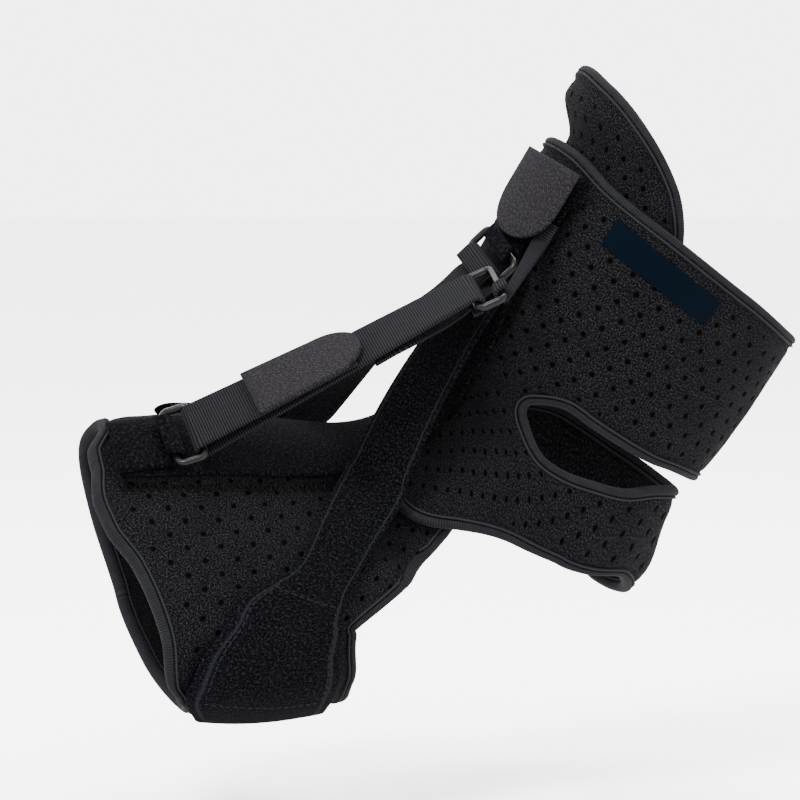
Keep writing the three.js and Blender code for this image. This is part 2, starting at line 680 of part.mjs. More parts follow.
// A ribbon through rows, each a function that gives the point and the outward direction at u
function ribbon(rows, columns, thickness) {
  return wall(columns, rows.length - 1, false, (u, v, side) => {
    const { at, out } = rows[Math.round(v * (rows.length - 1))](u);
    return at.clone().addScaledVector(out, (side * thickness) / 2);
  });
}

// Rows of a ribbon in the air along stops. facing is a direction on the outer side of the last row.
function airRows(stops, width, facing) {
  const frames = framesAlong(stops, false);
  const turned = Math.sign(frames.at(-1).high.dot(facing));
  return frames.map((frame) => {
    const out = frame.high.clone().multiplyScalar(turned);
    return (u) => ({ at: frame.at.clone().addScaledVector(frame.wide, width * (u - 0.5)), out });
  });
}

// A row of a ribbon that lies on the limb
function limbRow(along, around, width, lift) {
  const perDegree = onLimb(along, around + 2).distanceTo(onLimb(along, around - 2)) / 4;
  return (u) => {
    const turn = around + (width / perDegree) * (u - 0.5);
    return { at: onLimb(along, turn, lift), out: outwardAt(along, turn) };
  };
}

// Shares of a width that round off the end of a strap, at distances left to go before the end
function roundedShare(left, width) {
  const past = 1 - Math.min((2 * left) / width, 1);
  return Math.sqrt(Math.max(1 - past ** 2, 0.03));
}

// Front strap: sewn round the side ring, down to the toe ring, round its bar and back upwards, with
// a hook tab at its end
const FRONT_LAYER = 2 * (RING_WIRE / 2 + 1.8 * CLEARANCE) + WEBBING_THICKNESS;
const FRONT_RETURN = 0.56;
const JOIN_AT = 0.72;

const toeTurn = turnRound(toeRing, 1, WEBBING_THICKNESS);
const sideTurn = turnRound(sideRing, 1, WEBBING_THICKNESS);
const lowerLayer = (t) => between(toeTurn[0], sideTurn[6], t);
function upperLayer(t) {
  const closed = WEBBING_THICKNESS + LAYER_GAP;
  const rise = THREE.MathUtils.lerp(FRONT_LAYER, closed, Math.min(t / FRONT_RETURN, 1));
  return moved(lowerLayer(t), toeRing.out, rise);
}

function frontStrap() {
  const tail = moved(sideTurn[0], sideRing.pull, SEWN_END / 4);
  const lower = anglesFrom(0.94, 0.08, 9).map(lowerLayer);
  const upper = anglesFrom(0.08, FRONT_RETURN, 7).map(upperLayer);
  const stops = [tail, ...sideTurn, ...lower, ...toeTurn, ...upper];
  return ribbon(airRows(stops, STRAP_WIDTH, toeRing.out), 2, WEBBING_THICKNESS);
}

function frontStrapTab() {
  const width = STRAP_WIDTH + 2;
  const rise = WEBBING_THICKNESS / 2 + LAYER_GAP + TAB_THICKNESS / 2;
  const shares = [0.26, 0.32, 0.38, 0.44, 0.49, 0.53, 0.555, 0.573, 0.585, 0.594, 0.6];
  const stops = shares.map((t) => moved(upperLayer(t), toeRing.out, rise));
  const end = stops.at(-1).at;
  const frames = framesAlong(stops, false);
  frames.forEach((frame) => {
    frame.scale = roundedShare(frame.at.distanceTo(end), width);
  });
  return carry(frames, flatOutline(width, TAB_THICKNESS), false);
}

// The second end of the front strap runs under the first, up to the shin ring, and is sewn on itself
const shinTurn = turnRound(shinRing, 1, WEBBING_THICKNESS).toReversed();
const underFront = (t) => moved(lowerLayer(t), toeRing.out, -WEBBING_THICKNESS - 4 * LAYER_GAP);
function upperReach(t) {
  const straight = between(shinTurn[6], underFront(JOIN_AT), t);
  return moved(straight, shinRing.out, -UPPER_STRAP_DIP * 16 * (t * (1 - t)) ** 2);
}
function frontStrapUpper() {
  const reach = anglesFrom(0.1, 1, 8).map(upperReach);
  const tail = moved(shinTurn[0], shinRing.pull, SEWN_END / 2);
  const sewn = anglesFrom(JOIN_AT - 0.03, JOIN_AT - 0.1, 3).map(underFront);
  const stops = [tail, ...shinTurn, ...reach, ...sewn];
  return ribbon(airRows(stops, STRAP_WIDTH, shinRing.out), 2, WEBBING_THICKNESS);
}

// A strap that holds a ring: flat on the band, then round a bar and a short way back
function anchorStrap(anchor, seat, thickness, aside) {
  const lift = bandTop + anchor.rise + thickness / 2;
  const flat = anchor.alongs.map((along) => limbRow(along, anchor.around, anchor.width, lift));
  const turn = turnRound(seat, -1, thickness, aside);
  const tail = moved(turn[6], seat.pull, -SEWN_END / 4);
  const air = airRows([...turn, tail], anchor.width, seat.out.clone().negate());
  return ribbon([...flat, ...air], 4, thickness);
}

function shinTab() {
  const { width, around, top, bottom, rise } = SHIN_TAB;
  const lift = bandTop + rise + TAB_THICKNESS / 2;
  const length = onLimb(top, around).distanceTo(onLimb(bottom, around));
  const shares = [0, 0.15, 0.3, 0.45, 0.57, 0.68, 0.78, 0.86, 0.92, 0.96, 0.985, 1];
  const rows = shares.map((t) => {
    const along = THREE.MathUtils.lerp(top, bottom, t);
    return limbRow(along, around, width * roundedShare((1 - t) * length, width), lift);
  });
  return ribbon(rows, 4, TAB_THICKNESS);
}

// A side strap: sewn on under the rings, free to the foot, then flared over the sole strap. turnTo
// gives the angle of a row on the strap's own side of the foot. At turned, a share of the free run,
// the strap has turned to lie as the flare does.
function sideStrap(end, turned, turnTo) {
  const first = FLARE_COURSE[0];
  const toe = onLimb(first.toeAlong, turnTo(first.toeAround), first.lift);
  const rear = onLimb(first.rearAlong, turnTo(first.rearAround), first.lift);
  const landing = { at: toe.clone().add(rear).multiplyScalar(0.5), wide: rear.clone().sub(toe).normalize() };
  const at = placeOf(end);
  const facing = outwardAt(end.along, end.around);
  const wide = new THREE.Vector3().crossVectors(landing.at.clone().sub(at), facing).normalize();
  if (wide.dot(landing.wide) < 0) wide.negate();
  const span = anglesFrom(0, 0.94, 10).map((t) => {
    const stop = between({ at, wide }, landing, t);
    stop.wide = wide.clone().lerp(landing.wide, Math.min(t / turned, 1)).normalize();
    return moved(stop, facing, SIDE_STRAP_BOW * 4 * t * (1 - t));
  });
  const air = airRows([...span, landing], STRAP_WIDTH, facing).slice(0, -1);
  const flare = FLARE_COURSE.map((row) => (u) => {
    const along = THREE.MathUtils.lerp(row.toeAlong, row.rearAlong, u);
    const around = turnTo(THREE.MathUtils.lerp(row.toeAround, row.rearAround, u));
    return { at: onLimb(along, around, row.lift), out: outwardAt(along, around) };
  });
  return ribbon([...air, ...flare], 3, STRAP_THICKNESS);
}

const innerAround = (around) => INNER_CREST - (around - INNER_CREST) * INNER_SQUEEZE;
const sideStrapLateral = () => sideStrap(LATERAL_END, 1, (around) => around);
const sideStrapMedial = () => sideStrap(MEDIAL_END, MEDIAL_TURNED, innerAround);

function labelPatch() {
  const lift = CLEARANCE + LABEL_THICKNESS / 2;
  return wall(10, 2, false, (u, v, side) => {
    const around = THREE.MathUtils.lerp(LABEL.left, LABEL.right, u);
    const along = THREE.MathUtils.lerp(LABEL.topLeft, LABEL.topRight, u) + LABEL.height * v;
    return onLimb(along, around, lift + (side * LABEL_THICKNESS) / 2);
  });
}

const splint = new THREE.Group();
const NEOPRENE = { color: 0x232225, roughness: 0.95, metalness: 0 };
const TAPE = { color: 0x2c2c2f, roughness: 0.9, metalness: 0 };
const LOOP_CLOTH = { color: 0x161619, roughness: 1, metalness: 0 };
const WEBBING = { color: 0x2a292c, roughness: 0.85, metalness: 0 };
const HOOK_TAB = { color: 0x3a393c, roughness: 0.8, metalness: 0 };
const PLUSH = { color: 0x131416, roughness: 1, metalness: 0 };
const PLASTIC = { color: 0x17171a, roughness: 0.35, metalness: 0 };
const NAVY_LABEL = { color: 0x0e1a26, roughness: 0.7, metalness: 0 };

function addPiece(name, geometry, finish) {
  const mesh = new THREE.Mesh(geometry, new THREE.MeshStandardMaterial(finish));
  mesh.name = name;
  splint.add(mesh);
}

addPiece("ankle_wrap", ankleWrap(), NEOPRENE);
addPiece("cuff_binding", cuffBinding(), TAPE);
addPiece("slot_binding", slotBinding(), TAPE);
addPiece("band_binding", bandBinding(), TAPE);
addPiece("inner_flap", innerFlap(), NEOPRENE);
addPiece("flap_binding", flapBinding(), TAPE);
addPiece("foot_wrap", footWrap(), NEOPRENE);
addPiece("toe_binding", toeBinding(), TAPE);
addPiece("rear_binding", rearBinding(), TAPE);
addPiece("instep_band", instepBand(), LOOP_CLOTH);
addPiece("sole_strap", soleStrap(), LOOP_CLOTH);
addPiece("side_strap_lateral", sideStrapLateral(), LOOP_CLOTH);
addPiece("side_strap_medial", sideStrapMedial(), LOOP_CLOTH);
addPiece("toe_ring", ringSolid(toeRing), PLASTIC);
addPiece("shin_ring", ringSolid(shinRing), PLASTIC);
addPiece("side_ring", ringSolid(sideRing), PLASTIC);
addPiece("front_strap", frontStrap(), WEBBING);
addPiece("front_strap_tab", frontStrapTab(), HOOK_TAB);
addPiece("front_strap_upper", frontStrapUpper(), WEBBING);
addPiece("toe_anchor_strap", anchorStrap(TOE_ANCHOR, toeRing, PLUSH_THICKNESS, 0), PLUSH);
addPiece("shin_anchor_strap", anchorStrap(SHIN_ANCHOR, shinRing, PLUSH_THICKNESS, 0), PLUSH);
addPiece("side_anchor_strap", anchorStrap(SIDE_ANCHOR, sideRing, WEBBING_THICKNESS, 6.8), WEBBING);
addPiece("shin_tab", shinTab(), HOOK_TAB);
addPiece("label_patch", labelPatch(), NAVY_LABEL);

export default splint;
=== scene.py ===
"""Night splint for a left foot, as worn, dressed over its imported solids.

Lengths are millimetres until a mesh is made. The limb that the splint is shaped to is one
surface, on_limb(along, around, lift), and each piece is a grid of points worked out on it.
"""

import math

import bmesh
import bpy
import numpy as np
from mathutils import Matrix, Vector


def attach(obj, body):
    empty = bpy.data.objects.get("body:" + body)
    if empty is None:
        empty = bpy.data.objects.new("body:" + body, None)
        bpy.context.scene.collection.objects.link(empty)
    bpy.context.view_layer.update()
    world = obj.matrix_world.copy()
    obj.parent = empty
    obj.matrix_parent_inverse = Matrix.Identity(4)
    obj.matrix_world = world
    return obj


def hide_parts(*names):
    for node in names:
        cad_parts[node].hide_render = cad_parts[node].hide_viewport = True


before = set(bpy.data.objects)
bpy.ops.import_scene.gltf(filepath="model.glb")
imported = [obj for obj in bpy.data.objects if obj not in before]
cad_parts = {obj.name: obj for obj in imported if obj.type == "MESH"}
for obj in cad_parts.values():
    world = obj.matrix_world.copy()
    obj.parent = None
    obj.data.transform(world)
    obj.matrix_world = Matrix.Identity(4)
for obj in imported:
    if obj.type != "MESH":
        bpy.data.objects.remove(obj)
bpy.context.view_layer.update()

bl_info = {
    "name": "Night splint",
    "version": (1, 0, 0),
    "blender": (4, 5, 0),
    "location": "View3D > Sidebar > Splint",
    "description": "Makes the cloth, tape, straps and rings of a night splint",
    "category": "Object",
}

MM = 0.001

# Sizes of the limb and the cloth
SHIN_LEAN = 31.5
SHIN_TURN = 33.3
SHIN_HEIGHT = 150
LIMB_DEPTH = 106
LIMB_BREADTH = 94
FOOT_REACH = 146
FOOT_DROP = 82
WALL = 3.4
LAYER_GAP = 0.4
CLEARANCE = 0.3
FLAP_LIFT = 4
TAPE_WIDTH = 4.6
TAPE_THICKNESS = 4
BAND_THICKNESS = 1.3
BAND_RISE = 1.4
STRAP_WIDTH = 20
WEBBING_THICKNESS = 1.3
STRAP_THICKNESS = 1.6
PLUSH_THICKNESS = 1.5
TAB_THICKNESS = 1.5
LABEL_THICKNESS = 0.6
RING_WIRE = 2.4
RING_LENGTH = 9
SIDE_STRAP_BOW = 3
UPPER_STRAP_DIP = 1.6
SEWN_END = 9
BAND_TOP = BAND_RISE + BAND_THICKNESS
BAND_WIDTH = 32
SOLE_WIDTH = 34
TAB_WIDTH = STRAP_WIDTH + 2
TAPE_GROOVE_AT = 4.05
TAPE_RIDGE_AT = 5.0
HOLE_DEPTH = 0.55
FACE_RISE = 0.25
DEEP_LAYER = -1.5 * WALL - LAYER_GAP - TAPE_THICKNESS / 2

# Sections of the limb: ahead, up, down, aside, pitch, roll, front, back, half, power
SECTIONS = np.array([
    [0, 1, 0, 0, 0, 0, 0.524, 0.472, 0.521, 2.2],
    [0, 0.667, 0, 0, 0, 0, 0.519, 0.481, 0.5, 2.2],
    [-0.007, 0.4, 0, 0, 0, 0, 0.519, 0.462, 0.479, 2.2],
    [-0.007, 0.2, 0, 0, 8, 0, 0.509, 0.443, 0.457, 2.1],
    [0.007, 0.027, 0, 0, 24, 0, 0.491, 0.472, 0.457, 2.1],
    [0.11, 0, 0.244, 0, 48, 8, 0.434, 0.585, 0.447, 2.1],
    [0.301, 0, 0.537, 0, 70, 22, 0.34, 0.396, 0.489, 2.2],
    [0.493, 0, 0.707, 0, 80, 32, 0.283, 0.302, 0.543, 2.3],
    [0.712, 0, 0.841, 0.011, 84, 36, 0.236, 0.255, 0.553, 2.4],
    [1, 0, 1, 0.053, 84, 38, 0.17, 0.179, 0.468, 2.5],
])

# Edges of the cloth: around, along
CUFF_TOP = [
    (-180, 1.2), (-124, 1.1), (-90, 1.0), (-60, 0.93), (-32, 0.88), (0, 0.88), (27, 0.98),
    (60, 1.05), (92, 1.12), (124, 1.18), (180, 1.2),
]
BAND_LOW = [
    (-180, 3.95), (-128, 3.93), (-104, 4.25), (-72, 4.93), (-39, 5.58), (-10, 6.12),
    (10, 6.12), (39, 5.58), (72, 4.93), (104, 4.25), (128, 3.93), (180, 3.95),
]
# How far the heel band stands out behind the heel: along and lift
HEEL_ROUND = [
    (2.74, 0), (2.86, -6.5), (3.1, -3.6), (3.35, 0.8), (3.6, 4.2), (3.85, 3.8), (4.0, 2), (4.3, 0),
]
SLOT_FRONT = 40.5
SLOT_UPPER = [
    (40.5, 3.45), (42, 3.22), (48, 3.08), (60, 3.03), (88, 2.93), (114, 2.8), (180, 2.72),
]
SLOT_LOWER = [
    (40.5, 3.55), (42, 3.72), (47, 3.88), (60, 3.88), (82, 3.5), (100, 3.18), (114, 2.95),
    (180, 2.87),
]
TOE_EDGE = [
    (-180, 8.15), (-150, 8.4), (-110, 8.65), (-60, 8.78), (-27, 9.0), (-4, 8.93), (14, 8.7),
    (45, 8.47), (81, 8.27), (100, 7.98), (125, 7.84), (158, 7.98), (180, 8.15),
]
REAR_EDGE = [
    (-180, 6.2), (-120, 6.25), (-88, 6.48), (-55, 6.68), (-48, 6.5), (-40, 5.93), (-34, 5.35),
    (-20, 5.1), (20, 5.1), (34, 5.35), (40, 5.93), (48, 6.5), (55, 6.68), (88, 6.48),
    (120, 6.25), (180, 6.2),
]
FLAP_TOP = [
    (-125, 1.0), (-90, 0.7), (-60, 0.47), (-30, 0.37), (-9, 0.38), (18, 0.5), (44, 0.73),
    (56, 0.93), (66, 1.25),
]
FLAP_BOTTOM = 1.9

# The band up the instep and the shin: along, its middle and its half width
BAND_COURSE = [
    (1.02, -2, 18), (1.9, -4, 17), (3, 0, 17), (4, -6, 17), (5.3, -20, 18), (6.2, -27, 19),
    (7.2, -31, 19), (8.8, -33, 18),
]
# The strap round the sole: around, its toe edge and its rear edge
SOLE_COURSE = [
    (58, 8.12, 7.08), (68, 8.16, 6.95), (82, 8.08, 6.8), (96, 7.82, 6.68), (112, 7.64, 6.56),
    (140, 7.6, 6.5), (180, 7.65, 6.5),
]
# The flare of a side strap: toe edge along and around, rear edge along and around, lift
FLARE_COURSE = [
    (6.78, -9, 6.2, 9, 7), (7.15, 3, 6.6, 19, 4.2), (7.33, 12, 6.78, 26, 3.9),
    (7.48, 18, 6.93, 33, 4), (7.7, 22, 6.94, 38, 3.9), (7.95, 28, 6.95, 43, 3.9),
    (8.05, 38, 6.92, 50, 3.9), (8.18, 51, 6.9, 60, 3.9), (8.2, 68, 6.78, 76, 3.9),
    (8.15, 82, 6.7, 90, 3.9), (7.9, 96, 6.64, 100, 3.9),
]
# The same on the inner side, where the strap comes down straight on the side of the foot
MEDIAL_COURSE = [
    (6.76, 46, 6.1, 54, 4), (7.35, 56, 6.45, 65, 3.9), (8.1, 68, 6.78, 76, 3.9),
    (8.15, 82, 6.7, 90, 3.9), (7.9, 96, 6.64, 100, 3.9),
]
INNER_CREST = -30
INNER_SQUEEZE = 0.52

# Short sides of the rings and the sewn ends: along, around, lift
TOE_RING_SIDES = [(8.38, -40, 8.2), (8.38, -13, 10)]
SHIN_RING_SIDES = [(1.83, -9, 8.2), (1.98, 12, 9.4)]
SIDE_RING_SIDES = [(2.16, 7.9, 15.4), (2.34, 23.8, 27.0)]
LATERAL_END = (2.36, 5, 7.1)
MEDIAL_END = (2.44, -8, 3.6)
MEDIAL_TURNED = 0.9

# Straps that hold the rings: width, around, alongs, rise over the band
TOE_ANCHOR = (18, -27.0, [8.86, 8.81, 8.75], 1.7)
SHIN_ANCHOR = (17, -2.0, [1.2, 1.35, 1.5, 1.6], 0.8)
SIDE_ANCHOR = (6, 13.5, [1.42, 1.5, 1.58], 1.2)
SIDE_ANCHOR_ASIDE = 6.8
# The tab on the shin: width, around, top, bottom, rise over the band
SHIN_TAB = (29, 2.0, 1.02, 1.67, 4)
# The label: left and right around, top left and top right along, its height along
LABEL = (33.5, 82.0, 1.14, 1.27, 0.22)
LABEL_WIDTH = 9

# Zigzag seams: along, around
ZIGZAGS = {
    "shin_seam": [(1.12, 20), (1.33, 15), (1.68, 12), (1.95, 14), (2.45, 18), (2.78, 16)],
    "shin_seam_far": [(1.1, -22), (1.6, -22), (2.2, -22), (2.78, -21)],
    "foot_seam": [(6.85, -8), (8.18, -10), (8.8, -12)],
    "foot_seam_far": [(6.85, -54), (8.1, -54), (8.4, -53)],
}
# The box seam on the side strap: from stitch to stitch, and the gap between two
BOX_STITCH = (2.6, 0.7)


# The limb
def unit(vectors):
    """Vectors divided by their lengths."""
    vectors = np.asarray(vectors, float)
    return vectors / np.maximum(np.linalg.norm(vectors, axis=-1, keepdims=True), 1e-12)


def limb_axes():
    """Up the shin, out of its front, and out of its outer side: the shin leans back by one
    angle in the XZ plane, and its front turns to the outer side by another."""
    lean, turn = np.radians(SHIN_LEAN), np.radians(SHIN_TURN)
    up = np.array([np.sin(lean), 0, np.cos(lean)])
    across = np.array([-np.cos(lean), 0, np.sin(lean)])
    front = across * np.cos(turn) - np.array([0, np.sin(turn), 0])
    return up, front, np.cross(up, front)


SHIN_UP, SHIN_AHEAD, SHIN_OUTER = limb_axes()


def limb_stations():
    """Each section as centre, top, outer, front, back, half and power. The front direction
    pitches towards up the shin, then rolls towards the outer side."""
    ahead, up, down, aside, pitch, roll, front, back, half, power = SECTIONS.T[:, :, None]
    centre = ahead * FOOT_REACH * SHIN_AHEAD + aside * LIMB_BREADTH * SHIN_OUTER
    centre = centre + (up * SHIN_HEIGHT - down * FOOT_DROP) * SHIN_UP
    pitch, roll = np.radians(pitch), np.radians(roll)
    pitched = np.cos(pitch) * SHIN_AHEAD + np.sin(pitch) * SHIN_UP
    top = np.cos(roll) * pitched + np.sin(roll) * SHIN_OUTER
    outer = np.cos(roll) * SHIN_OUTER - np.sin(roll) * pitched
    sizes = [front * LIMB_DEPTH, back * LIMB_DEPTH, half * LIMB_BREADTH, power]
    return np.concatenate([centre, top, outer, *sizes], axis=1)


STATIONS = limb_stations()


def station_at(along):
    """Catmull-Rom through the sections: half of (2 p1 + (p2 - p0) t + (2 p0 - 5 p1 + 4 p2 - p3)
    t squared + (3 p1 - p0 - 3 p2 + p3) t cubed), with straight runs past both ends."""
    before = 2 * STATIONS[:1] - STATIONS[1:2]
    after = 2 * STATIONS[-1:] - STATIONS[-2:-1]
    padded = np.concatenate([before, STATIONS, after])
    i = np.clip(np.floor(along).astype(int), 0, len(STATIONS) - 2)
    t = np.clip(along - i, 0, 1)[..., None]
    p0, p1, p2, p3 = (padded[i + k] for k in range(4))
    square = (2 * p0 - 5 * p1 + 4 * p2 - p3) * t**2
    return 0.5 * (2 * p1 + (p2 - p0) * t + square + (3 * p1 - p0 - 3 * p2 + p3) * t**3)


def on_limb(along, around, lift=0.0):
    """A point of the limb: centre + top * sign(cos) |cos|^(2/power) (front or back + lift)
    + outer * sign(sin) |sin|^(2/power) (half + lift), at the angle around."""
    along, around, lift = np.broadcast_arrays(
        *(np.asarray(value, float) for value in (along, around, lift))
    )
    row = station_at(along)
    cosine, sine = np.cos(np.radians(around)), np.sin(np.radians(around))
    depth = np.where(cosine >= 0, row[..., 9], row[..., 10]) + lift
    shape = 2 / row[..., 12]
    reach = np.sign(cosine) * np.abs(cosine) ** shape * depth
    side = np.sign(sine) * np.abs(sine) ** shape * (row[..., 11] + lift)
    return row[..., 0:3] + row[..., 3:6] * reach[..., None] + row[..., 6:9] * side[..., None]


def outward_at(along, around):
    """The surface's outward direction: the run down the limb crossed with the run round it."""
    down = on_limb(along + 0.02, around) - on_limb(along - 0.02, around)
    turn = on_limb(along, around + 1.5) - on_limb(along, around - 1.5)
    return unit(np.cross(down, turn))


def read_table(table, x, column=1):
    """Cubic through rows of (x, values): in each span the Hermite cubic whose end slopes are
    the rise over the run of the two spans beside each row."""
    keys = np.array([row[0] for row in table], float)
    values = np.array([row[column] for row in table], float)
    return cubic_through(keys, values, x)


def cubic_through(keys, values, x):
    """The cubic of read_table, for values that may be numbers, points or rows of points."""
    x = np.clip(x, keys[0], keys[-1])
    i = np.clip(np.searchsorted(keys, x, side="right") - 1, 0, len(keys) - 2)
    order = np.arange(len(keys))
    low, high = np.maximum(order - 1, 0), np.minimum(order + 1, len(keys) - 1)
    tail = (slice(None),) + (None,) * (values.ndim - 1)
    slope = (values[high] - values[low]) / (keys[high] - keys[low])[tail]
    shape = np.shape(x) + (1,) * (values.ndim - 1)
    width = (keys[i + 1] - keys[i]).reshape(shape)
    t = (np.asarray(x) - keys[i]).reshape(shape) / width
    start = (2 * t**3 - 3 * t**2 + 1) * values[i] + (t**3 - 2 * t**2 + t) * slope[i] * width
    end = (3 * t**2 - 2 * t**3) * values[i + 1] + (t**3 - t**2) * slope[i + 1] * width
    return start + end


def step_back(table, around, inset):
    """How far an edge moves, counted in sections, to lie inset millimetres inside itself:
    inset over the length of a section, times how much the edge slants."""
    along = read_table(table, around)
    size = np.linalg.norm(on_limb(along + 0.05, around) - on_limb(along - 0.05, around), axis=-1)
    before, after = around - 2, around + 2
    slanted = on_limb(read_table(table, before), before) - on_limb(read_table(table, after), after)
    level = on_limb(along, before) - on_limb(along, after)
    slant = np.linalg.norm(slanted, axis=-1) / np.linalg.norm(level, axis=-1)
    return inset * np.clip(slant, 1, 2.2) / (size / 0.1)


def smooth_step(x, low, high):
    """3 t squared - 2 t cubed, with t from 0 at low to 1 at high."""
    t = np.clip((x - low) / (high - low), 0, 1)
    return t * t * (3 - 2 * t)


def blend(a, b, share):
    """a where share is 0 and b where it is 1."""
    return a + (b - a) * share


def heel_round(along, around):
    """The heel band behind the heel: drawn in at the slot and full below it, in millimetres."""
    turn = np.abs(around)
    turn = np.where(turn > 180, 360 - turn, turn)
    return read_table(HEEL_ROUND, along) * smooth_step(turn, 118, 160)


def middle_of_ankle_wrap(along, around):
    """The middle of the outer cloth lies half a wall below the limb's surface, but for the
    heel's own round."""
    return -WALL / 2 + heel_round(along, around)


def middle_of_foot_wrap(along, around):
    """As the outer cloth, but under the ankle wrap it dives to the deep layer."""
    cover = read_table(BAND_LOW, np.abs(around))
    deep = 1 - smooth_step(along, cover + 0.34, cover + 0.7)
    return blend(-WALL / 2, DEEP_LAYER, deep)


def middle_of_flap(along, around):
    """Proud of the surface at its top edge and deep under the cuff."""
    inside = smooth_step(along, 0.56, 0.83)
    outside = blend(FLAP_LIFT - WALL, -1.4 * WALL, smooth_step(around, -10, 45))
    return blend(outside, DEEP_LAYER, inside)


# Lengths over the limb, so that patterns on the cloth keep their size
ALONG_GRID = np.linspace(0, 9.4, 189)
AROUND_GRID = np.linspace(-200, 200, 201)


def lengths_over_limb():
    """Sums of the distances between neighbouring points: round each section from its front,
    and down the outer side from the top."""
    ring = on_limb(ALONG_GRID[:, None], AROUND_GRID[None, :])
    step = np.linalg.norm(np.diff(ring, axis=1), axis=-1)
    round_it = np.concatenate([np.zeros((len(ALONG_GRID), 1)), np.cumsum(step, axis=1)], axis=1)
    round_it -= round_it[:, len(AROUND_GRID) // 2][:, None]
    side = np.linalg.norm(np.diff(on_limb(ALONG_GRID, 70.0), axis=0), axis=-1)
    return round_it, np.concatenate([[0.0], np.cumsum(side)])


ROUND_LENGTHS, SIDE_LENGTHS = lengths_over_limb()


def cloth_coordinates(along, around):
    """Millimetres round the limb and down it, read between the four nearest grid values."""
    along, around = np.broadcast_arrays(np.asarray(along, float), np.asarray(around, float))
    a = np.clip(along / 0.05, 0, len(ALONG_GRID) - 1.001)
    b = np.clip((around + 200) / 2, 0, len(AROUND_GRID) - 1.001)
    i, j = a.astype(int), b.astype(int)
    s, t = a - i, b - j
    near = blend(ROUND_LENGTHS[i, j], ROUND_LENGTHS[i, j + 1], t)
    far = blend(ROUND_LENGTHS[i + 1, j], ROUND_LENGTHS[i + 1, j + 1], t)
    down = blend(SIDE_LENGTHS[i], SIDE_LENGTHS[i + 1], s)
    return np.stack([blend(near, far, s), down], axis=-1)


# Meshes
def grid_faces(rows, columns, keep, start):
    """The four corners of each square between neighbouring rows and columns."""
    i, j = np.meshgrid(np.arange(rows - 1), np.arange(columns - 1), indexing="ij")
    corners = np.stack([i * columns + j, i * columns + j + 1, (i + 1) * columns + j + 1,
                        (i + 1) * columns + j], axis=-1)
    if keep is not None:
        corners = corners[keep]
    return corners.reshape(-1, 4) + start


def make_piece(name, patches, material, replaces=()):
    """Joins patches, each a grid of points, a grid of cloth coordinates and perhaps which of
    its faces are kept, into one closed mesh: equal points are merged and faces turned out."""
    points, faces, coordinates, spots, start = [], [], [], [], 0
    for patch in patches:
        grid, cloth = patch[0], patch[1]
        keep = patch[2] if len(patch) > 2 else None
        spot = patch[3] if len(patch) > 3 else np.ones(grid.shape[:2])
        faces.append(grid_faces(grid.shape[0], grid.shape[1], keep, start))
        points.append(grid.reshape(-1, 3) * MM)
        coordinates.append(np.broadcast_to(cloth, grid.shape[:2] + (2,)).reshape(-1, 2))
        spots.append(spot.reshape(-1))
        start += grid.shape[0] * grid.shape[1]
    points, faces = np.concatenate(points), np.concatenate(faces)
    coordinates, spots = np.concatenate(coordinates), np.concatenate(spots)
    mesh = bpy.data.meshes.new(name)
    mesh.from_pydata(points, [], faces)
    cloth_map = mesh.uv_layers.new(name="cloth")
    corner = np.empty(len(mesh.loops), np.int32)
    mesh.loops.foreach_get("vertex_index", corner)
    cloth_map.data.foreach_set("uv", coordinates[corner].astype(np.float32).ravel())
    share = mesh.attributes.new("share", "FLOAT", "POINT")
    share.data.foreach_set("value", spots.astype(np.float32))
    work = bmesh.new()
    work.from_mesh(mesh)
    bmesh.ops.remove_doubles(work, verts=work.verts, dist=0.004 * MM)
    bmesh.ops.dissolve_degenerate(work, edges=work.edges, dist=0.001 * MM)
    bmesh.ops.recalc_face_normals(work, faces=work.faces)
    work.to_mesh(mesh)
    work.free()
    mesh.shade_smooth()
    mesh.materials.append(material)
    piece = bpy.data.objects.new(name, mesh)
    bpy.context.scene.collection.objects.link(piece)
    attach(piece, "root")
    if replaces:
        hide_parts(*replaces)
    return piece


def declare_strap(piece):
    """Gives the strap back as it is."""
    return piece


def row_lengths(middle):
    """Distances down the middle of a grid of rows, added up."""
    step = np.linalg.norm(np.diff(middle, axis=0), axis=-1)
    return np.concatenate([[0.0], np.cumsum(step)])


def edge_profile(width, thickness, inside=9):
    """Shares across a strap, from -1 to 1, and the height there: a half circle at each edge,
    where share = 1 - r (1 - cos a) and height = sin a, and flat between them."""
    turn = np.radians([0, 25, 50, 70, 90])
    share = 1 - thickness / width * (1 - np.cos(turn))
    inner = np.linspace(-share[-1], share[-1], inside)[1:-1]
    shares = np.concatenate([-share, inner, share[::-1]])
    heights = np.concatenate([np.sin(turn), np.ones(len(inner)), np.sin(turn)[::-1]])
    order = np.argsort(shares)
    return shares[order], heights[order]


def strap_patches(rows, thickness, heights, finer=4):
    """A strap from rows of points: more rows by the cubic through them, a normal from the
    cross product of its two runs, and half a thickness times the edge's height each way."""
    middle = rows[:, rows.shape[1] // 2]
    keys = row_lengths(middle)
    spans = [np.linspace(*pair, finer, endpoint=False) for pair in zip(keys, keys[1:])]
    at = np.concatenate([*spans, keys[-1:]])
    grid = cubic_through(keys, rows, at)
    normal = unit(np.cross(np.gradient(grid, axis=0), np.gradient(grid, axis=1)))
    half = heights[None, :] * thickness / 2
    step = np.linalg.norm(np.diff(grid, axis=1), axis=-1)
    across = np.concatenate([np.zeros((len(grid), 1)), np.cumsum(step, axis=1)], axis=1)
    across -= across[:, -1:] / 2
    cloth = np.stack([across, np.broadcast_to(at[:, None], across.shape)], axis=-1)
    upper, lower = grid + normal * half[..., None], grid - normal * half[..., None]
    caps = [(np.stack([upper[k], lower[k]]), cloth[[k, k]]) for k in (0, -1)]
    spot = np.abs(across) / np.maximum(across[:, -1:], 0.001)
    return [(upper, cloth, None, spot), (lower, cloth, None, spot), *caps]


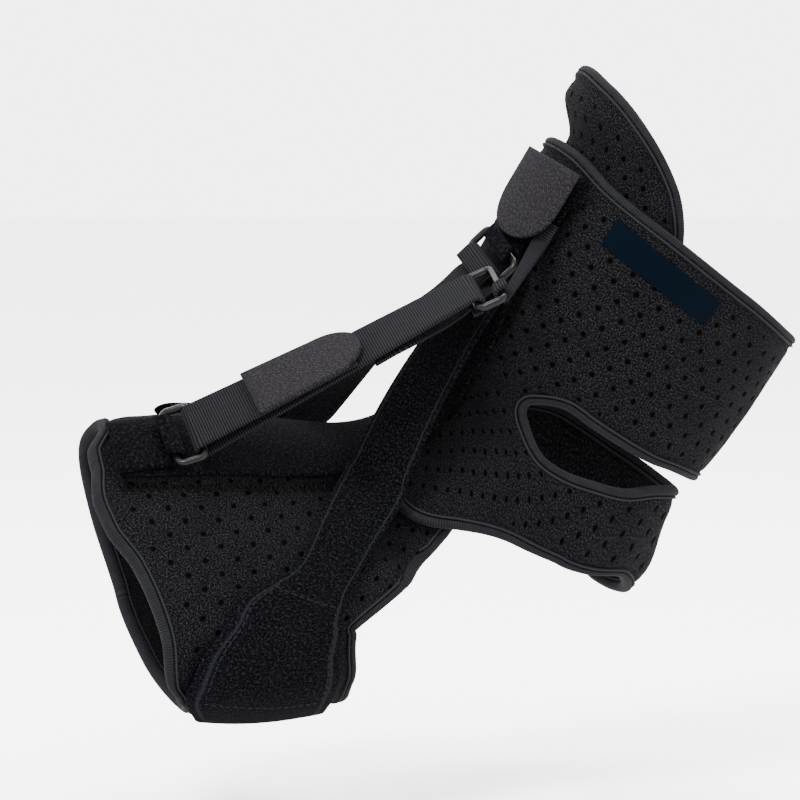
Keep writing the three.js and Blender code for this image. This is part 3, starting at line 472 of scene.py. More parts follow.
def tube_patches(path, radius, sides=6):
    """A round section carried along a path: centre + radius (cos a side + sin a up), where
    side and up are square to the path, with flat ends."""
    ahead = unit(np.gradient(path, axis=0))
    guide = np.array([0.31, 0.17, 0.93])
    side = unit(np.cross(ahead, guide))
    up = np.cross(side, ahead)
    turn = np.linspace(0, 2 * np.pi, sides + 1)[None, :, None]
    ring = path[:, None] + radius * (np.cos(turn) * side[:, None] + np.sin(turn) * up[:, None])
    run = row_lengths(path)
    cloth = np.stack(np.broadcast_arrays(radius * turn[..., 0], run[:, None]), axis=-1)
    caps = [(np.stack([ring[k], np.broadcast_to(path[k], ring[k].shape)]), cloth[[k, k]])
            for k in (0, -1)]
    return [(ring, cloth), *caps]


# Materials
def linear(code):
    """Linear colour of an sRGB hex code: below 0.04045 a twelfth, above it a power of 2.4."""
    parts = [int(code[k:k + 2], 16) / 255 for k in (1, 3, 5)]
    return tuple(v / 12.92 if v <= 0.04045 else ((v + 0.055) / 1.055) ** 2.4 for v in parts)


class Surface:
    """A new material in one colour. Its patterns are made of sockets: u and v are millimetres
    across and along the piece, and share is what the piece's mesh says of each point."""

    def __init__(self, name, colour):
        self.material = bpy.data.materials.new(name)
        self.material.use_nodes = True
        self.tree = self.material.node_tree
        self.tree.nodes.clear()
        self.colour = colour
        self.cloth = self.add("UVMap", uv_map="cloth")
        self.u = self.add("SeparateXYZ", self.cloth)
        self.v = self.u.node.outputs[1]
        self.share = self.add("Attribute", attribute_name="share", out="Fac")

    def add(self, kind, *inputs, out=0, **named):
        """Adds one node and gives one of its outputs. kind may end in an operation. inputs are
        values or sockets in the node's order, or by number. A name with a capital is an input,
        and any other is a property of the node."""
        kind, _, operation = kind.partition(" ")
        node = self.tree.nodes.new("ShaderNode" + kind)
        if operation:
            node.operation = operation
        numbered = inputs and isinstance(inputs[0], dict)
        values = dict(inputs[0]) if numbered else dict(enumerate(inputs))
        for key, value in named.items():
            if key[0].isupper():
                values[key] = value
            else:
                setattr(node, key, value)
        for key, value in values.items():
            if isinstance(value, bpy.types.NodeSocket):
                self.tree.links.new(value, node.inputs[key])
            else:
                node.inputs[key].default_value = value
        return node.outputs[out] if node.outputs else node

    def total(self, *terms):
        """The sum of values, each times its weight."""
        result = 0.0
        for value, weight in terms:
            result = self.add("Math MULTIPLY_ADD", value, weight, result)
        return result

    def ramp(self, value, low, high, bottom=0.0, top=1.0):
        """bottom where value is low, rising smoothly to top where it is high."""
        return self.add("MapRange", value, low, high, bottom, top, interpolation_type="SMOOTHSTEP")

    def beside(self, value, at, far, near, top=1.0):
        """top where value is near to at, falling to 0 where it is far from it."""
        distance = self.add("Math ABSOLUTE", self.total((value, 1), (-at, 1)))
        return self.ramp(distance, far, near, 0, top)

    def wave(self, value, period):
        """A sine with its period in millimetres."""
        return self.add("Math SINE", self.total((value, 2 * math.pi / period)))

    def grain(self, scale, detail=2.0, roughness=0.5):
        """Noise with scale in cycles a millimetre."""
        return self.add("TexNoise", Vector=self.cloth, Scale=scale, Detail=detail,
                        Roughness=roughness, out="Fac")

    def cells(self, scale, randomness):
        """Distance from the middles of scattered cells, with scale in cells a millimetre."""
        return self.add("TexVoronoi", Vector=self.cloth, Scale=scale, Randomness=randomness,
                        out="Distance")

    def mixed(self, share, low, high):
        """One colour where share is 0, another where it is 1."""
        return self.add("Mix", {0: share, 6: low, 7: high}, out=2, data_type="RGBA")

    def shades(self, share, low, high):
        """The colour times low where share is 0, and times high where it is 1."""
        return self.mixed(share, shade(self.colour, low), shade(self.colour, high))

    def toward(self, base, share, factor):
        """base drawn towards the colour times a factor."""
        return self.mixed(share, base, shade(self.colour, factor))

    def finish(self, colour, height, depth, roughness, sheen=0.0, specular=0.01):
        """Bump of depth millimetres from height, then the surface shader and the output."""
        bump = self.add("Bump", Height=height, Strength=1.0, Distance=depth * MM)
        shader = self.add("BsdfPrincipled", **{
            "Base Color": colour, "Roughness": roughness, "Normal": bump, "Sheen Weight": sheen,
            "Specular IOR Level": specular,
        })
        self.add("OutputMaterial", Surface=shader)
        return self.material


def shade(colour, factor=1.0):
    """A colour times a factor, with full alpha."""
    return (*(min(part * factor, 1.0) for part in colour), 1.0)


def neoprene(name, colour, pitch, spacing, hole):
    """Foam rubber faced with knitted polyester and punched: a matte, slightly furry knit with
    stitches about 0.75 mm apart, and rows of small holes. The holes are painted near black and
    the dips round them darker as painted shade, their rims lighter as painted highlight, and
    bright flecks on the knit are painted glints."""
    face = Surface(name, colour)
    row = face.add("Math ROUND", face.add("Math DIVIDE", face.v, spacing))
    place = face.total((face.u, 1 / pitch), (face.add("Math PINGPONG", row, 1.0), 0.5))
    beside = face.total((place, pitch), (face.add("Math ROUND", place), -pitch))
    above = face.total((face.v, 1), (row, -spacing))
    span = face.add("Math SQRT", face.total((beside, beside), (above, above)))
    radius = face.ramp(face.grain(1.1, 1.0), 0.2, 0.8, 0.4 * hole, 0.6 * hole)
    depth = face.total((span, 1), (face.total((face.share, radius)), -1))
    pit = face.ramp(depth, 0.28, -0.12)
    rim = face.total((face.ramp(depth, 0.1, 0.4), face.ramp(depth, 0.95, 0.45)))
    rim = face.total((rim, face.share))
    # Knit drawn at 0.75 mm, a little coarser than real, so that it shows
    knit, speck = face.cells(1.35, 0.75), face.grain(1.75, 2.0, 0.6)
    height = face.total((knit, -0.55), (speck, 1.4), (rim, 0.15), (pit, -2.0))
    base = face.shades(face.ramp(face.grain(0.09, 2.0), 0.3, 0.7), 0.82, 1.2)
    base = face.toward(base, face.ramp(speck, 0.5, 0.36), 0.1)
    # Painted highlight: bright flecks on the knit drawn seven times lighter as its glints
    base = face.toward(base, face.ramp(speck, 0.5, 0.66, 0, 0.62), 7.0)
    # Painted highlight: the rims of the holes drawn lighter
    base = face.toward(base, face.total((rim, 0.1)), 6.0)
    # Painted shade: the dip round each hole drawn darker, and each hole drawn near black
    dimple_shade = face.total((face.ramp(depth, 0.9, 0.1, 0, 0.6), face.share))
    base = face.toward(face.toward(base, dimple_shade, 0.6), pit, 0.05)
    return face.finish(base, height, 0.24, 0.92, 0.004)


def binding_tape(name, colour):
    """Woven polyester edge tape: matte, with fine ribs across it about 0.8 mm apart. Its
    groove and its ridge lie some way round its section from its free edge. The rib crests and
    the ridge are painted lighter as painted highlight, and the groove and the sewn edge darker
    as painted shade."""
    face = Surface(name, colour)
    rib = face.wave(face.v, 0.8)
    height = face.total((rib, 0.3), (face.wave(face.u, 0.5), 0.12), (face.grain(1.6, 3.0, 0.6), 1))
    base = face.shades(face.ramp(face.grain(0.25, 3.0), 0.35, 0.7), 0.85, 1.25)
    # Painted highlight: the rib crests and, below, the corded ridge drawn lighter
    base = face.toward(base, face.ramp(rib, -0.6, 1.0, 0, 0.6), 2.4)
    base = face.toward(base, face.beside(face.u, TAPE_RIDGE_AT, 0.5, 0.15, 0.35), 4.0)
    # Painted shade: the sewn groove and the sewn edge past the ridge drawn darker
    groove = face.beside(face.u, TAPE_GROOVE_AT, 0.6, 0.2)
    sewn_edge_shade = face.ramp(face.u, TAPE_RIDGE_AT + 0.5, TAPE_RIDGE_AT + 0.9)
    base = face.toward(base, face.add("Math MAXIMUM", groove, sewn_edge_shade), 0.1)
    return face.finish(base, height, 0.13, 0.85, 0.004, 0.02)


def brushed_loop(name, colour, coarse, selvedge):
    """Nylon loop cloth, brushed: very dark and soft, with short fibres lying every way, and a
    lighter line down both edges of a strap."""
    face = Surface(name, colour)
    fibre, tuft = face.grain(1.3 / coarse, 3.0, 0.7), face.cells(1.1 / coarse, 1.0)
    line = face.beside(face.share, 0.85, 0.045, 0.01, selvedge)
    height = face.total((fibre, 1), (tuft, -0.5), (line, -0.8))
    base = face.shades(face.ramp(face.grain(0.12, 3.0, 0.6), 0.3, 0.7), 0.75, 1.3)
    base = face.toward(base, face.ramp(fibre, 0.5, 0.36), 0.1)
    # Painted highlight: the fibre tips drawn lighter as glints
    base = face.toward(base, face.ramp(fibre, 0.5, 0.68, 0, 0.8), 8.0)
    base = face.toward(base, line, 9.0)
    return face.finish(base, height, 0.3 * coarse, 0.95, 0.003)


def webbing(name, colour):
    """Woven nylon webbing: ribs across it about 0.85 mm apart, over finer warp threads."""
    face = Surface(name, colour)
    rib, warp = face.wave(face.v, 0.85), face.wave(face.u, 0.7)
    cross = face.total((rib, warp))
    height = face.total((rib, 0.45), (cross, 0.25), (face.grain(1.5, 3.0, 0.6), 0.7))
    base = face.shades(face.ramp(face.grain(0.2, 2.0), 0.3, 0.7), 0.85, 1.2)
    # Painted highlight: the raised ribs and crossings of the weave drawn lighter
    base = face.toward(base, face.ramp(height, 0.1, 1.0), 6.0)
    return face.finish(base, height, 0.16, 0.85, 0.004, 0.015)


def hook_tape(name, colour):
    """Moulded nylon hook tape, smooth back outwards: grey-black, with a grid of dots 1.1 mm
    apart that catches a little light."""
    face = Surface(name, colour)
    dots = face.total((face.wave(face.u, 1.1), face.wave(face.v, 1.1)))
    height = face.total((dots, 0.12), (face.grain(1.2, 2.0, 0.6), 1))
    base = face.shades(face.ramp(face.grain(0.15, 2.0), 0.3, 0.7), 0.88, 1.12)
    # Painted highlight: the raised dots drawn lighter
    base = face.toward(base, face.ramp(height, 0.4, 0.8), 4.0)
    return face.finish(base, height, 0.1, 0.75, 0.005, 0.02)


def moulded_nylon(name, colour):
    """Injection moulded nylon: smooth and half glossy, with a faint grain."""
    face = Surface(name, colour)
    grain = face.grain(0.9, 2.0)
    base = face.shades(face.ramp(grain, 0.3, 0.7), 0.9, 1.1)
    return face.finish(base, grain, 0.03, 0.28, 0.0, 0.09)


def woven_label(name, colour):
    """Woven satin label: fine navy threads in a twill about 0.6 mm apart."""
    face = Surface(name, colour)
    twill = face.wave(face.total((face.u, 1), (face.v, 1)), 0.6)
    height = face.total((twill, 0.4), (face.wave(face.u, 0.45), 0.2), (face.grain(1.8, 2.0), 1))
    # Painted highlight: the raised threads of the twill drawn lighter
    base = face.shades(face.ramp(height, 0.3, 1.2, 0, 0.6), 0.85, 1.7)
    return face.finish(base, height, 0.05, 0.8, 0.001, 0.01)


def sewing_thread(name, colour):
    """Bonded polyester thread: twisted, with a dull shine, and its twist painted lighter and
    darker as painted highlight and shade.
    """
    face = Surface(name, colour)
    twist = face.wave(face.total((face.u, 1), (face.v, 1)), 0.5)
    # Painted highlight and shade: the twist's crests drawn lighter and its hollows darker
    base = face.shades(face.ramp(twist, -1.0, 1.0), 0.7, 1.3)
    return face.finish(base, twist, 0.05, 0.6, 0.0, 0.04)


# Cloth rings and their tapes
CLOTH_INSET = 1.9


def crumple(cloth, along, around):
    """Small unevenness of the worn cloth, in millimetres: a sum of slow sines over the cloth,
    and finer gathers beside the band on the shin that fade away from it."""
    u, v = cloth[..., 0], cloth[..., 1]
    slow = 0.22 * np.sin(u / 7.1 + 1.3 * np.sin(v / 11.0)) * np.sin(v / 9.3 + 0.6)
    slow += 0.16 * np.sin(u / 4.3 - v / 6.1 + 0.8) + 0.10 * np.sin(u / 2.9 + v / 3.7)
    near = np.exp(-np.clip(around - 15, 0, None) / 11) * (around > 4)
    near = near * smooth_step(along, 1.1, 1.5) * (1 - smooth_step(along, 3.2, 4.4))
    gather = 0.3 * np.sin(v * 2 * np.pi / 3.1 + 1.1 * np.sin(u / 3.3)) * near
    heel = smooth_step(along, 3.9, 4.4) * (1 - smooth_step(along, 5.0, 5.6))
    heel = heel * np.exp(-(((around - 28) / 20) ** 2))
    fold = 0.45 * np.sin(v * 2 * np.pi / 9 + u / 5.0) * heel
    return slow + gather + fold


def hole_depth(cloth, pitch, spacing, hole, share):
    """How deep the cloth dips at its punched holes: a bell over the distance to the nearest
    point of staggered rows."""
    row = np.round(cloth[..., 1] / spacing)
    place = cloth[..., 0] / pitch + 0.5 * (np.abs(row) % 2)
    beside = (place - np.round(place)) * pitch
    above = cloth[..., 1] - row * spacing
    return HOLE_DEPTH * share * np.exp(-(beside**2 + above**2) / (hole / 1.7) ** 2)


def ring_face(high, low, around, rows, middle_at, side, holes=None):
    """One face of a ring of cloth: rows evenly from the high edge to the low edge, half a wall
    to one side of its middle, with the worn unevenness on its outer face."""
    share = np.linspace(0, 1, rows + 1)[:, None]
    along = blend(high[None, :], low[None, :], share)
    angles = np.broadcast_to(around[None, :], along.shape)
    cloth = cloth_coordinates(along, angles)
    span = np.abs(low - high)[None, :] * 33
    edge = np.minimum(share, 1 - share) * span
    bare = smooth_step(edge, 3.0, 5.0)
    lift = middle_at(along, angles) + side * WALL / 2
    if side > 0:
        lift = lift + (crumple(cloth, along, angles) + FACE_RISE) * smooth_step(edge, 1.5, 7)
        lift = lift - 0.4 * np.exp(-(((edge - 2.0) / 0.8) ** 2))
    if holes is not None:
        lift = lift - hole_depth(cloth, *holes, bare)
    return on_limb(along, angles, lift), cloth, None, bare * (side > 0)


def rim(first, second, row, keep=None):
    """The strip that joins one row of a face to the same row of the other face."""
    return np.stack([first[0][row], second[0][row]]), first[1][[row, row]], keep


def ring_angles(count, extra=()):
    """Angles right round the limb, closed, with some more where the cloth needs them."""
    even = np.linspace(-180, 180, count + 1)
    return np.unique(np.round(np.concatenate([even, extra]), 4))


def ankle_wrap_patches():
    """The cuff and the heel band as one cloth: an upper and a lower part that meet in front of
    the slot and leave it open behind its nose."""
    nose = SLOT_FRONT - 2.7
    fine = nose + 2.7 * np.array([0, 0.06, 0.2, 0.45, 0.7, 1.0, 1.4])
    around = ring_angles(400, np.concatenate([fine, -fine]))
    turn = np.abs(around)
    high = read_table(CUFF_TOP, around) + step_back(CUFF_TOP, around, CLOTH_INSET)
    low = read_table(BAND_LOW, around) - step_back(BAND_LOW, around, CLOTH_INSET)
    steady = np.maximum(turn, SLOT_FRONT + 6)
    read = np.maximum(turn, SLOT_FRONT + 0.5)
    upper = read_table(SLOT_UPPER, read) - step_back(SLOT_UPPER, steady, CLOTH_INSET)
    lower = read_table(SLOT_LOWER, read) + step_back(SLOT_LOWER, steady, CLOTH_INSET)
    middle = 0.5 * (SLOT_UPPER[0][1] + SLOT_LOWER[0][1])
    opened = np.sqrt(np.clip((turn - nose) / (SLOT_FRONT + 1.1 - nose), 0, 1))
    upper, lower = blend(middle, upper, opened), blend(middle, lower, opened)
    holes = holes_of("ankle")
    outer = [ring_face(high, upper, around, 112, middle_of_ankle_wrap, 1, holes),
             ring_face(lower, low, around, 66, middle_of_ankle_wrap, 1, holes)]
    inner = [ring_face(high, upper, around, 16, middle_of_ankle_wrap, -1),
             ring_face(lower, low, around, 10, middle_of_ankle_wrap, -1)]
    in_slot = (np.maximum(opened[1:], opened[:-1]) > 0)[None, :]
    rims = [rim(outer[0], inner[0], -1, in_slot), rim(outer[1], inner[1], 0, in_slot),
            rim(outer[0], inner[0], 0), rim(outer[1], inner[1], -1)]
    return [*outer, *inner, *rims]


def foot_wrap_patches():
    """The cloth round the forefoot, whose rear tongues dive under the ankle wrap."""
    tongue = np.linspace(30, 60, 31)
    around = ring_angles(340, np.concatenate([tongue, -tongue]))
    high = read_table(REAR_EDGE, around) + step_back(REAR_EDGE, around, CLOTH_INSET)
    low = read_table(TOE_EDGE, around) - step_back(TOE_EDGE, around, CLOTH_INSET)
    holes = holes_of("foot")
    outer = ring_face(high, low, around, 120, middle_of_foot_wrap, 1, holes)
    inner = ring_face(high, low, around, 22, middle_of_foot_wrap, -1)
    return [outer, inner, rim(outer, inner, 0), rim(outer, inner, -1)]


def inner_flap_patches():
    """The flap that rises out of the cuff: cloth from its taped edge down inside the wrap."""
    around = np.linspace(FLAP_TOP[0][0] + 5, FLAP_TOP[-1][0] - 4.5, 190)
    high = read_table(FLAP_TOP, around) + step_back(FLAP_TOP, around, CLOTH_INSET)
    low = np.full(around.shape, float(FLAP_BOTTOM))
    holes = holes_of("ankle")
    outer = ring_face(high, low, around, 60, middle_of_flap, 1, holes)
    inner = ring_face(high, low, around, 16, middle_of_flap, -1)
    sides = []
    for column in (0, -1):
        out_side, in_side = outer[0][:, column], inner[0][:, column]
        keys = np.linspace(0, 1, len(in_side))
        finer = cubic_through(keys, in_side, np.linspace(0, 1, len(out_side)))
        sides.append((np.stack([out_side, finer]), np.zeros((2, len(out_side), 2))))
    return [outer, inner, rim(outer, inner, 0), rim(outer, inner, -1), *sides]


def loop_direction(path):
    """The direction of a closed path at each of its points."""
    return unit(np.roll(path, -1, axis=0) - np.roll(path, 1, axis=0))


def tape_profile():
    """Section of the folded tape: across from its free edge to its sewn edge, and its height.
    A round free edge, a flat face, a sewn groove, and a corded ridge beside the cloth."""
    free = np.radians([0, 20, 40, 60, 80])
    across = np.concatenate([-TAPE_WIDTH / 2 + 1.3 * (1 - np.cos(free)), [-0.8, -0.35, -0.1, 0.05],
                             [0.2, 0.35, 0.55, 0.75, 0.95, 1.15, 1.35, 1.5, 1.6]])
    height = np.concatenate([2.0 * np.sin(free), [2.1, 2.08, 1.95, 1.72],
                             [1.56, 1.78, 2.1, 2.26, 2.24, 2.04, 1.7, 1.3, 0.9]])
    return across, height


def tape_patches(path, inward, closed):
    """The tape's section carried along an edge. across points to the cloth, and out is square
    to the edge and to across."""
    ahead = loop_direction(path) if closed else unit(np.gradient(path, axis=0))
    over = unit(inward - ahead * np.sum(inward * ahead, axis=-1, keepdims=True))
    out = np.cross(ahead, over)
    across, height = tape_profile()
    run = row_lengths(path)
    pucker = 0.05 * np.sin(run * 2 * np.pi / 2.6)[:, None] * (across > 0.3)
    upper = path[:, None] + over[:, None] * across[None, :, None]
    lower = upper - out[:, None] * (height[None] + pucker)[..., None]
    upper = upper + out[:, None] * (height[None] + pucker)[..., None]
    arc = np.concatenate([[0], np.cumsum(np.hypot(np.diff(across), np.diff(height)))])
    cloth = np.stack(np.broadcast_arrays(arc[None, :], run[:, None]), axis=-1)
    if closed:
        upper, lower = np.concatenate([upper, upper[:1]]), np.concatenate([lower, lower[:1]])
        cloth = np.concatenate([cloth, cloth[-1:] + [0, 1.2]])
    sewn = np.stack([upper[:, -1], lower[:, -1]])
    patches = [(upper, cloth), (lower, cloth), (sewn, np.stack([cloth[:, -1], cloth[:, -1]]))]
    if not closed:
        patches += [(np.stack([upper[k], lower[k]]), cloth[[k, k]]) for k in (0, -1)]
    return patches


def edge_tape(table, inwards, middle_at, around, closed):
    """Tape along a table's edge: its middle lies half its width inside the edge."""
    along = read_table(table, around) + inwards * step_back(table, around, TAPE_WIDTH / 2)
    path = on_limb(along, around, middle_at(along, around))
    inward = on_limb(along + inwards * 0.03, around, middle_at(along, around)) - path
    return tape_patches(path, inward, closed)


def slot_tape_patches():
    """Tape round the slot: back along its upper edge, round one nose, forward along its lower
    edge, and round the other nose. Its corners are rounded by the cubic through its stops."""
    turns = np.linspace(SLOT_FRONT, 360 - SLOT_FRONT, 22)
    folded = np.where(turns <= 180, turns, 360 - turns)
    read = np.clip(folded, SLOT_FRONT + 0.5, None)
    steady = np.maximum(read, SLOT_FRONT + 6)
    half = TAPE_WIDTH / 2
    top = read_table(SLOT_UPPER, read) - step_back(SLOT_UPPER, steady, half)
    low = read_table(SLOT_LOWER, read) + step_back(SLOT_LOWER, steady, half)
    middle = 0.5 * (SLOT_UPPER[0][1] + SLOT_LOWER[0][1])
    nose_far, nose_near = 360 - SLOT_FRONT + 2.6, SLOT_FRONT - 2.6
    along = np.concatenate([top, [middle], low[::-1], [middle]])
    angle = np.concatenate([turns, [nose_far], turns[::-1], [nose_near]])
    stops = on_limb(along, angle, middle_of_ankle_wrap(along, angle))
    out = outward_at(along, angle)
    loop = np.concatenate([stops[-2:], stops, stops[:3]])
    facing = np.concatenate([out[-2:], out, out[:3]])
    keys = row_lengths(loop)
    pairs = zip(keys[2:-3], keys[3:-2])
    at = np.concatenate([np.linspace(*pair, 9, endpoint=False) for pair in pairs])
    path, facing = cubic_through(keys, loop, at), unit(cubic_through(keys, facing, at))
    ahead = loop_direction(path)
    inward = np.cross(ahead, facing)
    centre = on_limb(3.3, 75.0, -WALL / 2)
    nearest = np.argmin(np.linalg.norm(path - on_limb(2.95, 75.0, -WALL / 2), axis=-1))
    if np.dot(inward[nearest], centre - path[nearest]) > 0:
        inward = -inward
    return tape_patches(path, inward, True)


# Rings and straps
def middle_between(sides):
    """Half way between two places on the limb."""
    return 0.5 * (on_limb(*sides[0]) + on_limb(*sides[1]))


class RingSeat:
    """Where a ring stands: its centre, the direction of its bars, the direction of its pull,
    and outwards. ease turns the pull towards the surface, from 0 for none to 1 for all."""

    def __init__(self, sides, pull_to, ease):
        self.at = middle_between(sides)
        self.wide = unit(on_limb(*sides[1]) - on_limb(*sides[0]))
        surface = outward_at(np.float64(sides[0][0]), np.float64((sides[0][1] + sides[1][1]) / 2))
        pull = unit(pull_to - self.at)
        pull = pull - surface * ease * np.dot(pull, surface)
        self.pull = unit(pull - self.wide * np.dot(pull, self.wide))
        out = np.cross(self.wide, self.pull)
        self.out = out if np.dot(out, surface) > 0 else -out


TOE_RING = RingSeat(TOE_RING_SIDES, middle_between(SIDE_RING_SIDES), 0.3)
SHIN_RING = RingSeat(SHIN_RING_SIDES, middle_between(TOE_RING_SIDES), 0.7)
SIDE_RING = RingSeat(SIDE_RING_SIDES, middle_between(TOE_RING_SIDES), 0)


def ring_patches(seat):
    """Round wire along a rounded rectangle in the plane of wide and pull."""
    x, y, corner = STRAP_WIDTH / 2 + 3.6 * CLEARANCE + RING_WIRE / 2, RING_LENGTH / 2, RING_WIRE
    turn = np.radians(np.linspace(0, 90, 9))
    path = []
    for k, (cx, cy) in enumerate([(x - corner, corner - y), (x - corner, y - corner),
                                  (corner - x, y - corner), (corner - x, corner - y)]):
        angle = turn + np.radians(90 * (k - 1))
        path.append(np.stack([cx + corner * np.cos(angle), cy + corner * np.sin(angle)], axis=-1))
    flat = np.concatenate(path)
    loop = seat.at + flat[:, :1] * seat.wide + flat[:, 1:] * seat.pull
    following = np.roll(loop, -1, axis=0)
    steps = np.linspace(0, 1, 4, endpoint=False)[None, :, None]
    loop = (loop[:, None] + (following - loop)[:, None] * steps).reshape(-1, 3)
    far = np.linalg.norm(loop - np.roll(loop, 1, axis=0), axis=-1) > 1e-6
    loop = loop[far]
    ahead = loop_direction(loop)
    side = np.cross(ahead, seat.out)
    angle = np.linspace(0, 2 * np.pi, 17)[None, :, None]
    section = np.cos(angle) * side[:, None] + np.sin(angle) * seat.out
    ring = loop[:, None] + RING_WIRE / 2 * section
    ring = np.concatenate([ring, ring[:1]])
    run = np.append(row_lengths(loop), 0)
    run[-1] = run[-2] + 1
    cloth = np.stack(np.broadcast_arrays(angle[..., 0] * RING_WIRE / 2, run[:, None]), axis=-1)
    return [(ring, cloth)]


def turn_round(seat, bar_side, thickness, aside=0):
    """Stops round one bar of a ring, from its under side to its upper side: a half circle of
    out and pull about the bar."""
    radius = RING_WIRE / 2 + 1.8 * CLEARANCE + thickness / 2
    bar = seat.at + seat.pull * bar_side * RING_LENGTH / 2 + seat.wide * aside
    angle = np.pi * (1 - np.arange(7) / 6)[:, None]
    points = bar + radius * (seat.out * np.cos(angle) - seat.pull * bar_side * np.sin(angle))
    return points, np.broadcast_to(seat.wide, points.shape)


def between(start, end, share):
    """Stops on the straight line between two stops, at some shares of it."""
    share = np.atleast_1d(share)[:, None]
    return blend(start[0], end[0], share), unit(blend(start[1], end[1], share))


def joined(*runs):
    """Several runs of stops as one."""
    return np.concatenate([run[0] for run in runs]), np.concatenate([run[1] for run in runs])


def one(run, index):
    """One stop of a run."""
    return run[0][index], run[1][index]


def moved(run, direction, distance):
    """A run of stops moved by a distance, or by one distance each."""
    distance = np.asarray(distance, float)
    return run[0] + direction * (distance[:, None] if distance.ndim else distance), run[1]


def single(stop):
    """A stop as a run of one."""
    return np.atleast_2d(stop[0]), np.atleast_2d(stop[1])


def air_rows(run, widths, shares):
    """Rows of points across stops in the air: the stop plus width times half the share along
    its wide direction, made square to the run."""
    ahead = unit(np.concatenate([run[0][1:2] - run[0][:1], run[0][2:] - run[0][:-2],
                                 run[0][-1:] - run[0][-2:-1]]))
    wide = unit(run[1] - ahead * np.sum(run[1] * ahead, axis=-1, keepdims=True))
    half = (np.broadcast_to(widths, (len(ahead),)) / 2)[:, None] * shares[None, :]
    return run[0][:, None] + wide[:, None] * half[..., None]


def limb_rows(alongs, around, width, lift, shares):
    """Rows of points across a strap that lies on the limb, each along one section."""
    rows = []
    for along, wide in zip(alongs, np.broadcast_to(width, (len(alongs),))):
        size = np.linalg.norm(on_limb(along, around + 2.0) - on_limb(along, around - 2.0)) / 4
        rows.append(on_limb(along, around + wide / size * shares / 2, lift))
    return np.array(rows)


FRONT_LAYER = 2 * (RING_WIRE / 2 + 1.8 * CLEARANCE) + WEBBING_THICKNESS
FRONT_RETURN = 0.56
JOIN_AT = 0.72
TOE_TURN = turn_round(TOE_RING, 1, WEBBING_THICKNESS)
SIDE_TURN = turn_round(SIDE_RING, 1, WEBBING_THICKNESS)


def lower_layer(share):
    """The front strap's under layer: straight from the toe ring to the side ring."""
    return between(one(TOE_TURN, 0), one(SIDE_TURN, 6), share)


def upper_layer(share):
    """The front strap's upper layer closes down on the under layer as it goes up."""
    rise = blend(FRONT_LAYER, WEBBING_THICKNESS + LAYER_GAP, np.minimum(share / FRONT_RETURN, 1))
    return moved(lower_layer(share), TOE_RING.out, rise)


def front_strap_patches():
    """Webbing sewn round the side ring, down to the toe ring, round its bar and back up."""
    shares, heights = edge_profile(STRAP_WIDTH, WEBBING_THICKNESS)
    tail = single((SIDE_TURN[0][0] + SIDE_RING.pull * SEWN_END / 4, SIDE_TURN[1][0]))
    run = joined(tail, SIDE_TURN, lower_layer(np.linspace(0.94, 0.08, 9)), TOE_TURN,
                 upper_layer(np.linspace(0.08, FRONT_RETURN, 7)))
    return strap_patches(air_rows(run, STRAP_WIDTH, shares), WEBBING_THICKNESS, heights)


def rounded_share(left, width):
    """Width near a rounded end: the half circle's height at the distance left to go."""
    past = 1 - np.minimum(2 * left / width, 1)
    return np.sqrt(np.maximum(1 - past**2, 0.012))


def front_tab_patches():
    """The hook tab on the front strap's upper layer, with a rounded end."""
    shares, heights = edge_profile(TAB_WIDTH, TAB_THICKNESS)
    steps = 1 - (1 - np.linspace(0, 1, 34)) ** 2
    run = upper_layer(0.2 + 0.4 * steps)
    run = moved(run, TOE_RING.out, WEBBING_THICKNESS / 2 + LAYER_GAP / 2 + TAB_THICKNESS / 2)
    left = np.linalg.norm(run[0] - run[0][-1], axis=-1)
    rows = air_rows(run, TAB_WIDTH * rounded_share(left, TAB_WIDTH), shares)
    return strap_patches(rows, TAB_THICKNESS, heights, finer=1)


def front_upper_patches():
    """The front strap's second end: from its seam under the first, up to the shin ring and
    round its bar."""
    shares, heights = edge_profile(STRAP_WIDTH, WEBBING_THICKNESS)
    turn = turn_round(SHIN_RING, 1, WEBBING_THICKNESS)
    turn = turn[0][::-1], turn[1][::-1]

    def under(share):
        return moved(lower_layer(share), TOE_RING.out, -WEBBING_THICKNESS - 4 * LAYER_GAP)

    reach_shares = np.linspace(0.1, 1, 8)
    reach = between(one(turn, 6), one(under(JOIN_AT), 0), reach_shares)
    dip = -UPPER_STRAP_DIP * 16 * (reach_shares * (1 - reach_shares)) ** 2
    reach = moved(reach, SHIN_RING.out, dip)
    tail = single((turn[0][0] + SHIN_RING.pull * SEWN_END / 2, turn[1][0]))
    run = joined(tail, turn, reach, under(np.linspace(JOIN_AT - 0.03, JOIN_AT - 0.1, 3)))
    return strap_patches(air_rows(run, STRAP_WIDTH, shares), WEBBING_THICKNESS, heights)


def anchor_patches(anchor, seat, thickness, aside=0):
    """A strap that holds a ring: flat on the band, round a bar and a short way back."""
    width, around, alongs, rise = anchor
    shares, heights = edge_profile(width, thickness)
    flat = limb_rows(alongs, around, width, BAND_TOP + rise + thickness / 2, shares)
    turn = turn_round(seat, -1, thickness, aside)
    tail = single((turn[0][6] - seat.pull * SEWN_END / 4, turn[1][6]))
    air = air_rows(joined(turn, tail), width, shares)
    return strap_patches(np.concatenate([flat, air]), thickness, heights)


def shin_tab_patches():
    """The hook tab on the shin, with a rounded lower end."""
    width, around, top, bottom, rise = SHIN_TAB
    shares, heights = edge_profile(width, TAB_THICKNESS, 13)
    length = np.linalg.norm(on_limb(top, around) - on_limb(bottom, around))
    steps = 1 - (1 - np.linspace(0, 1, 40)) ** 2
    widths = width * rounded_share((1 - steps) * length, width)
    lift = BAND_TOP + rise + TAB_THICKNESS / 2
    rows = limb_rows(blend(top, bottom, steps), around, widths, lift, shares)
    return strap_patches(rows, TAB_THICKNESS, heights, finer=1)


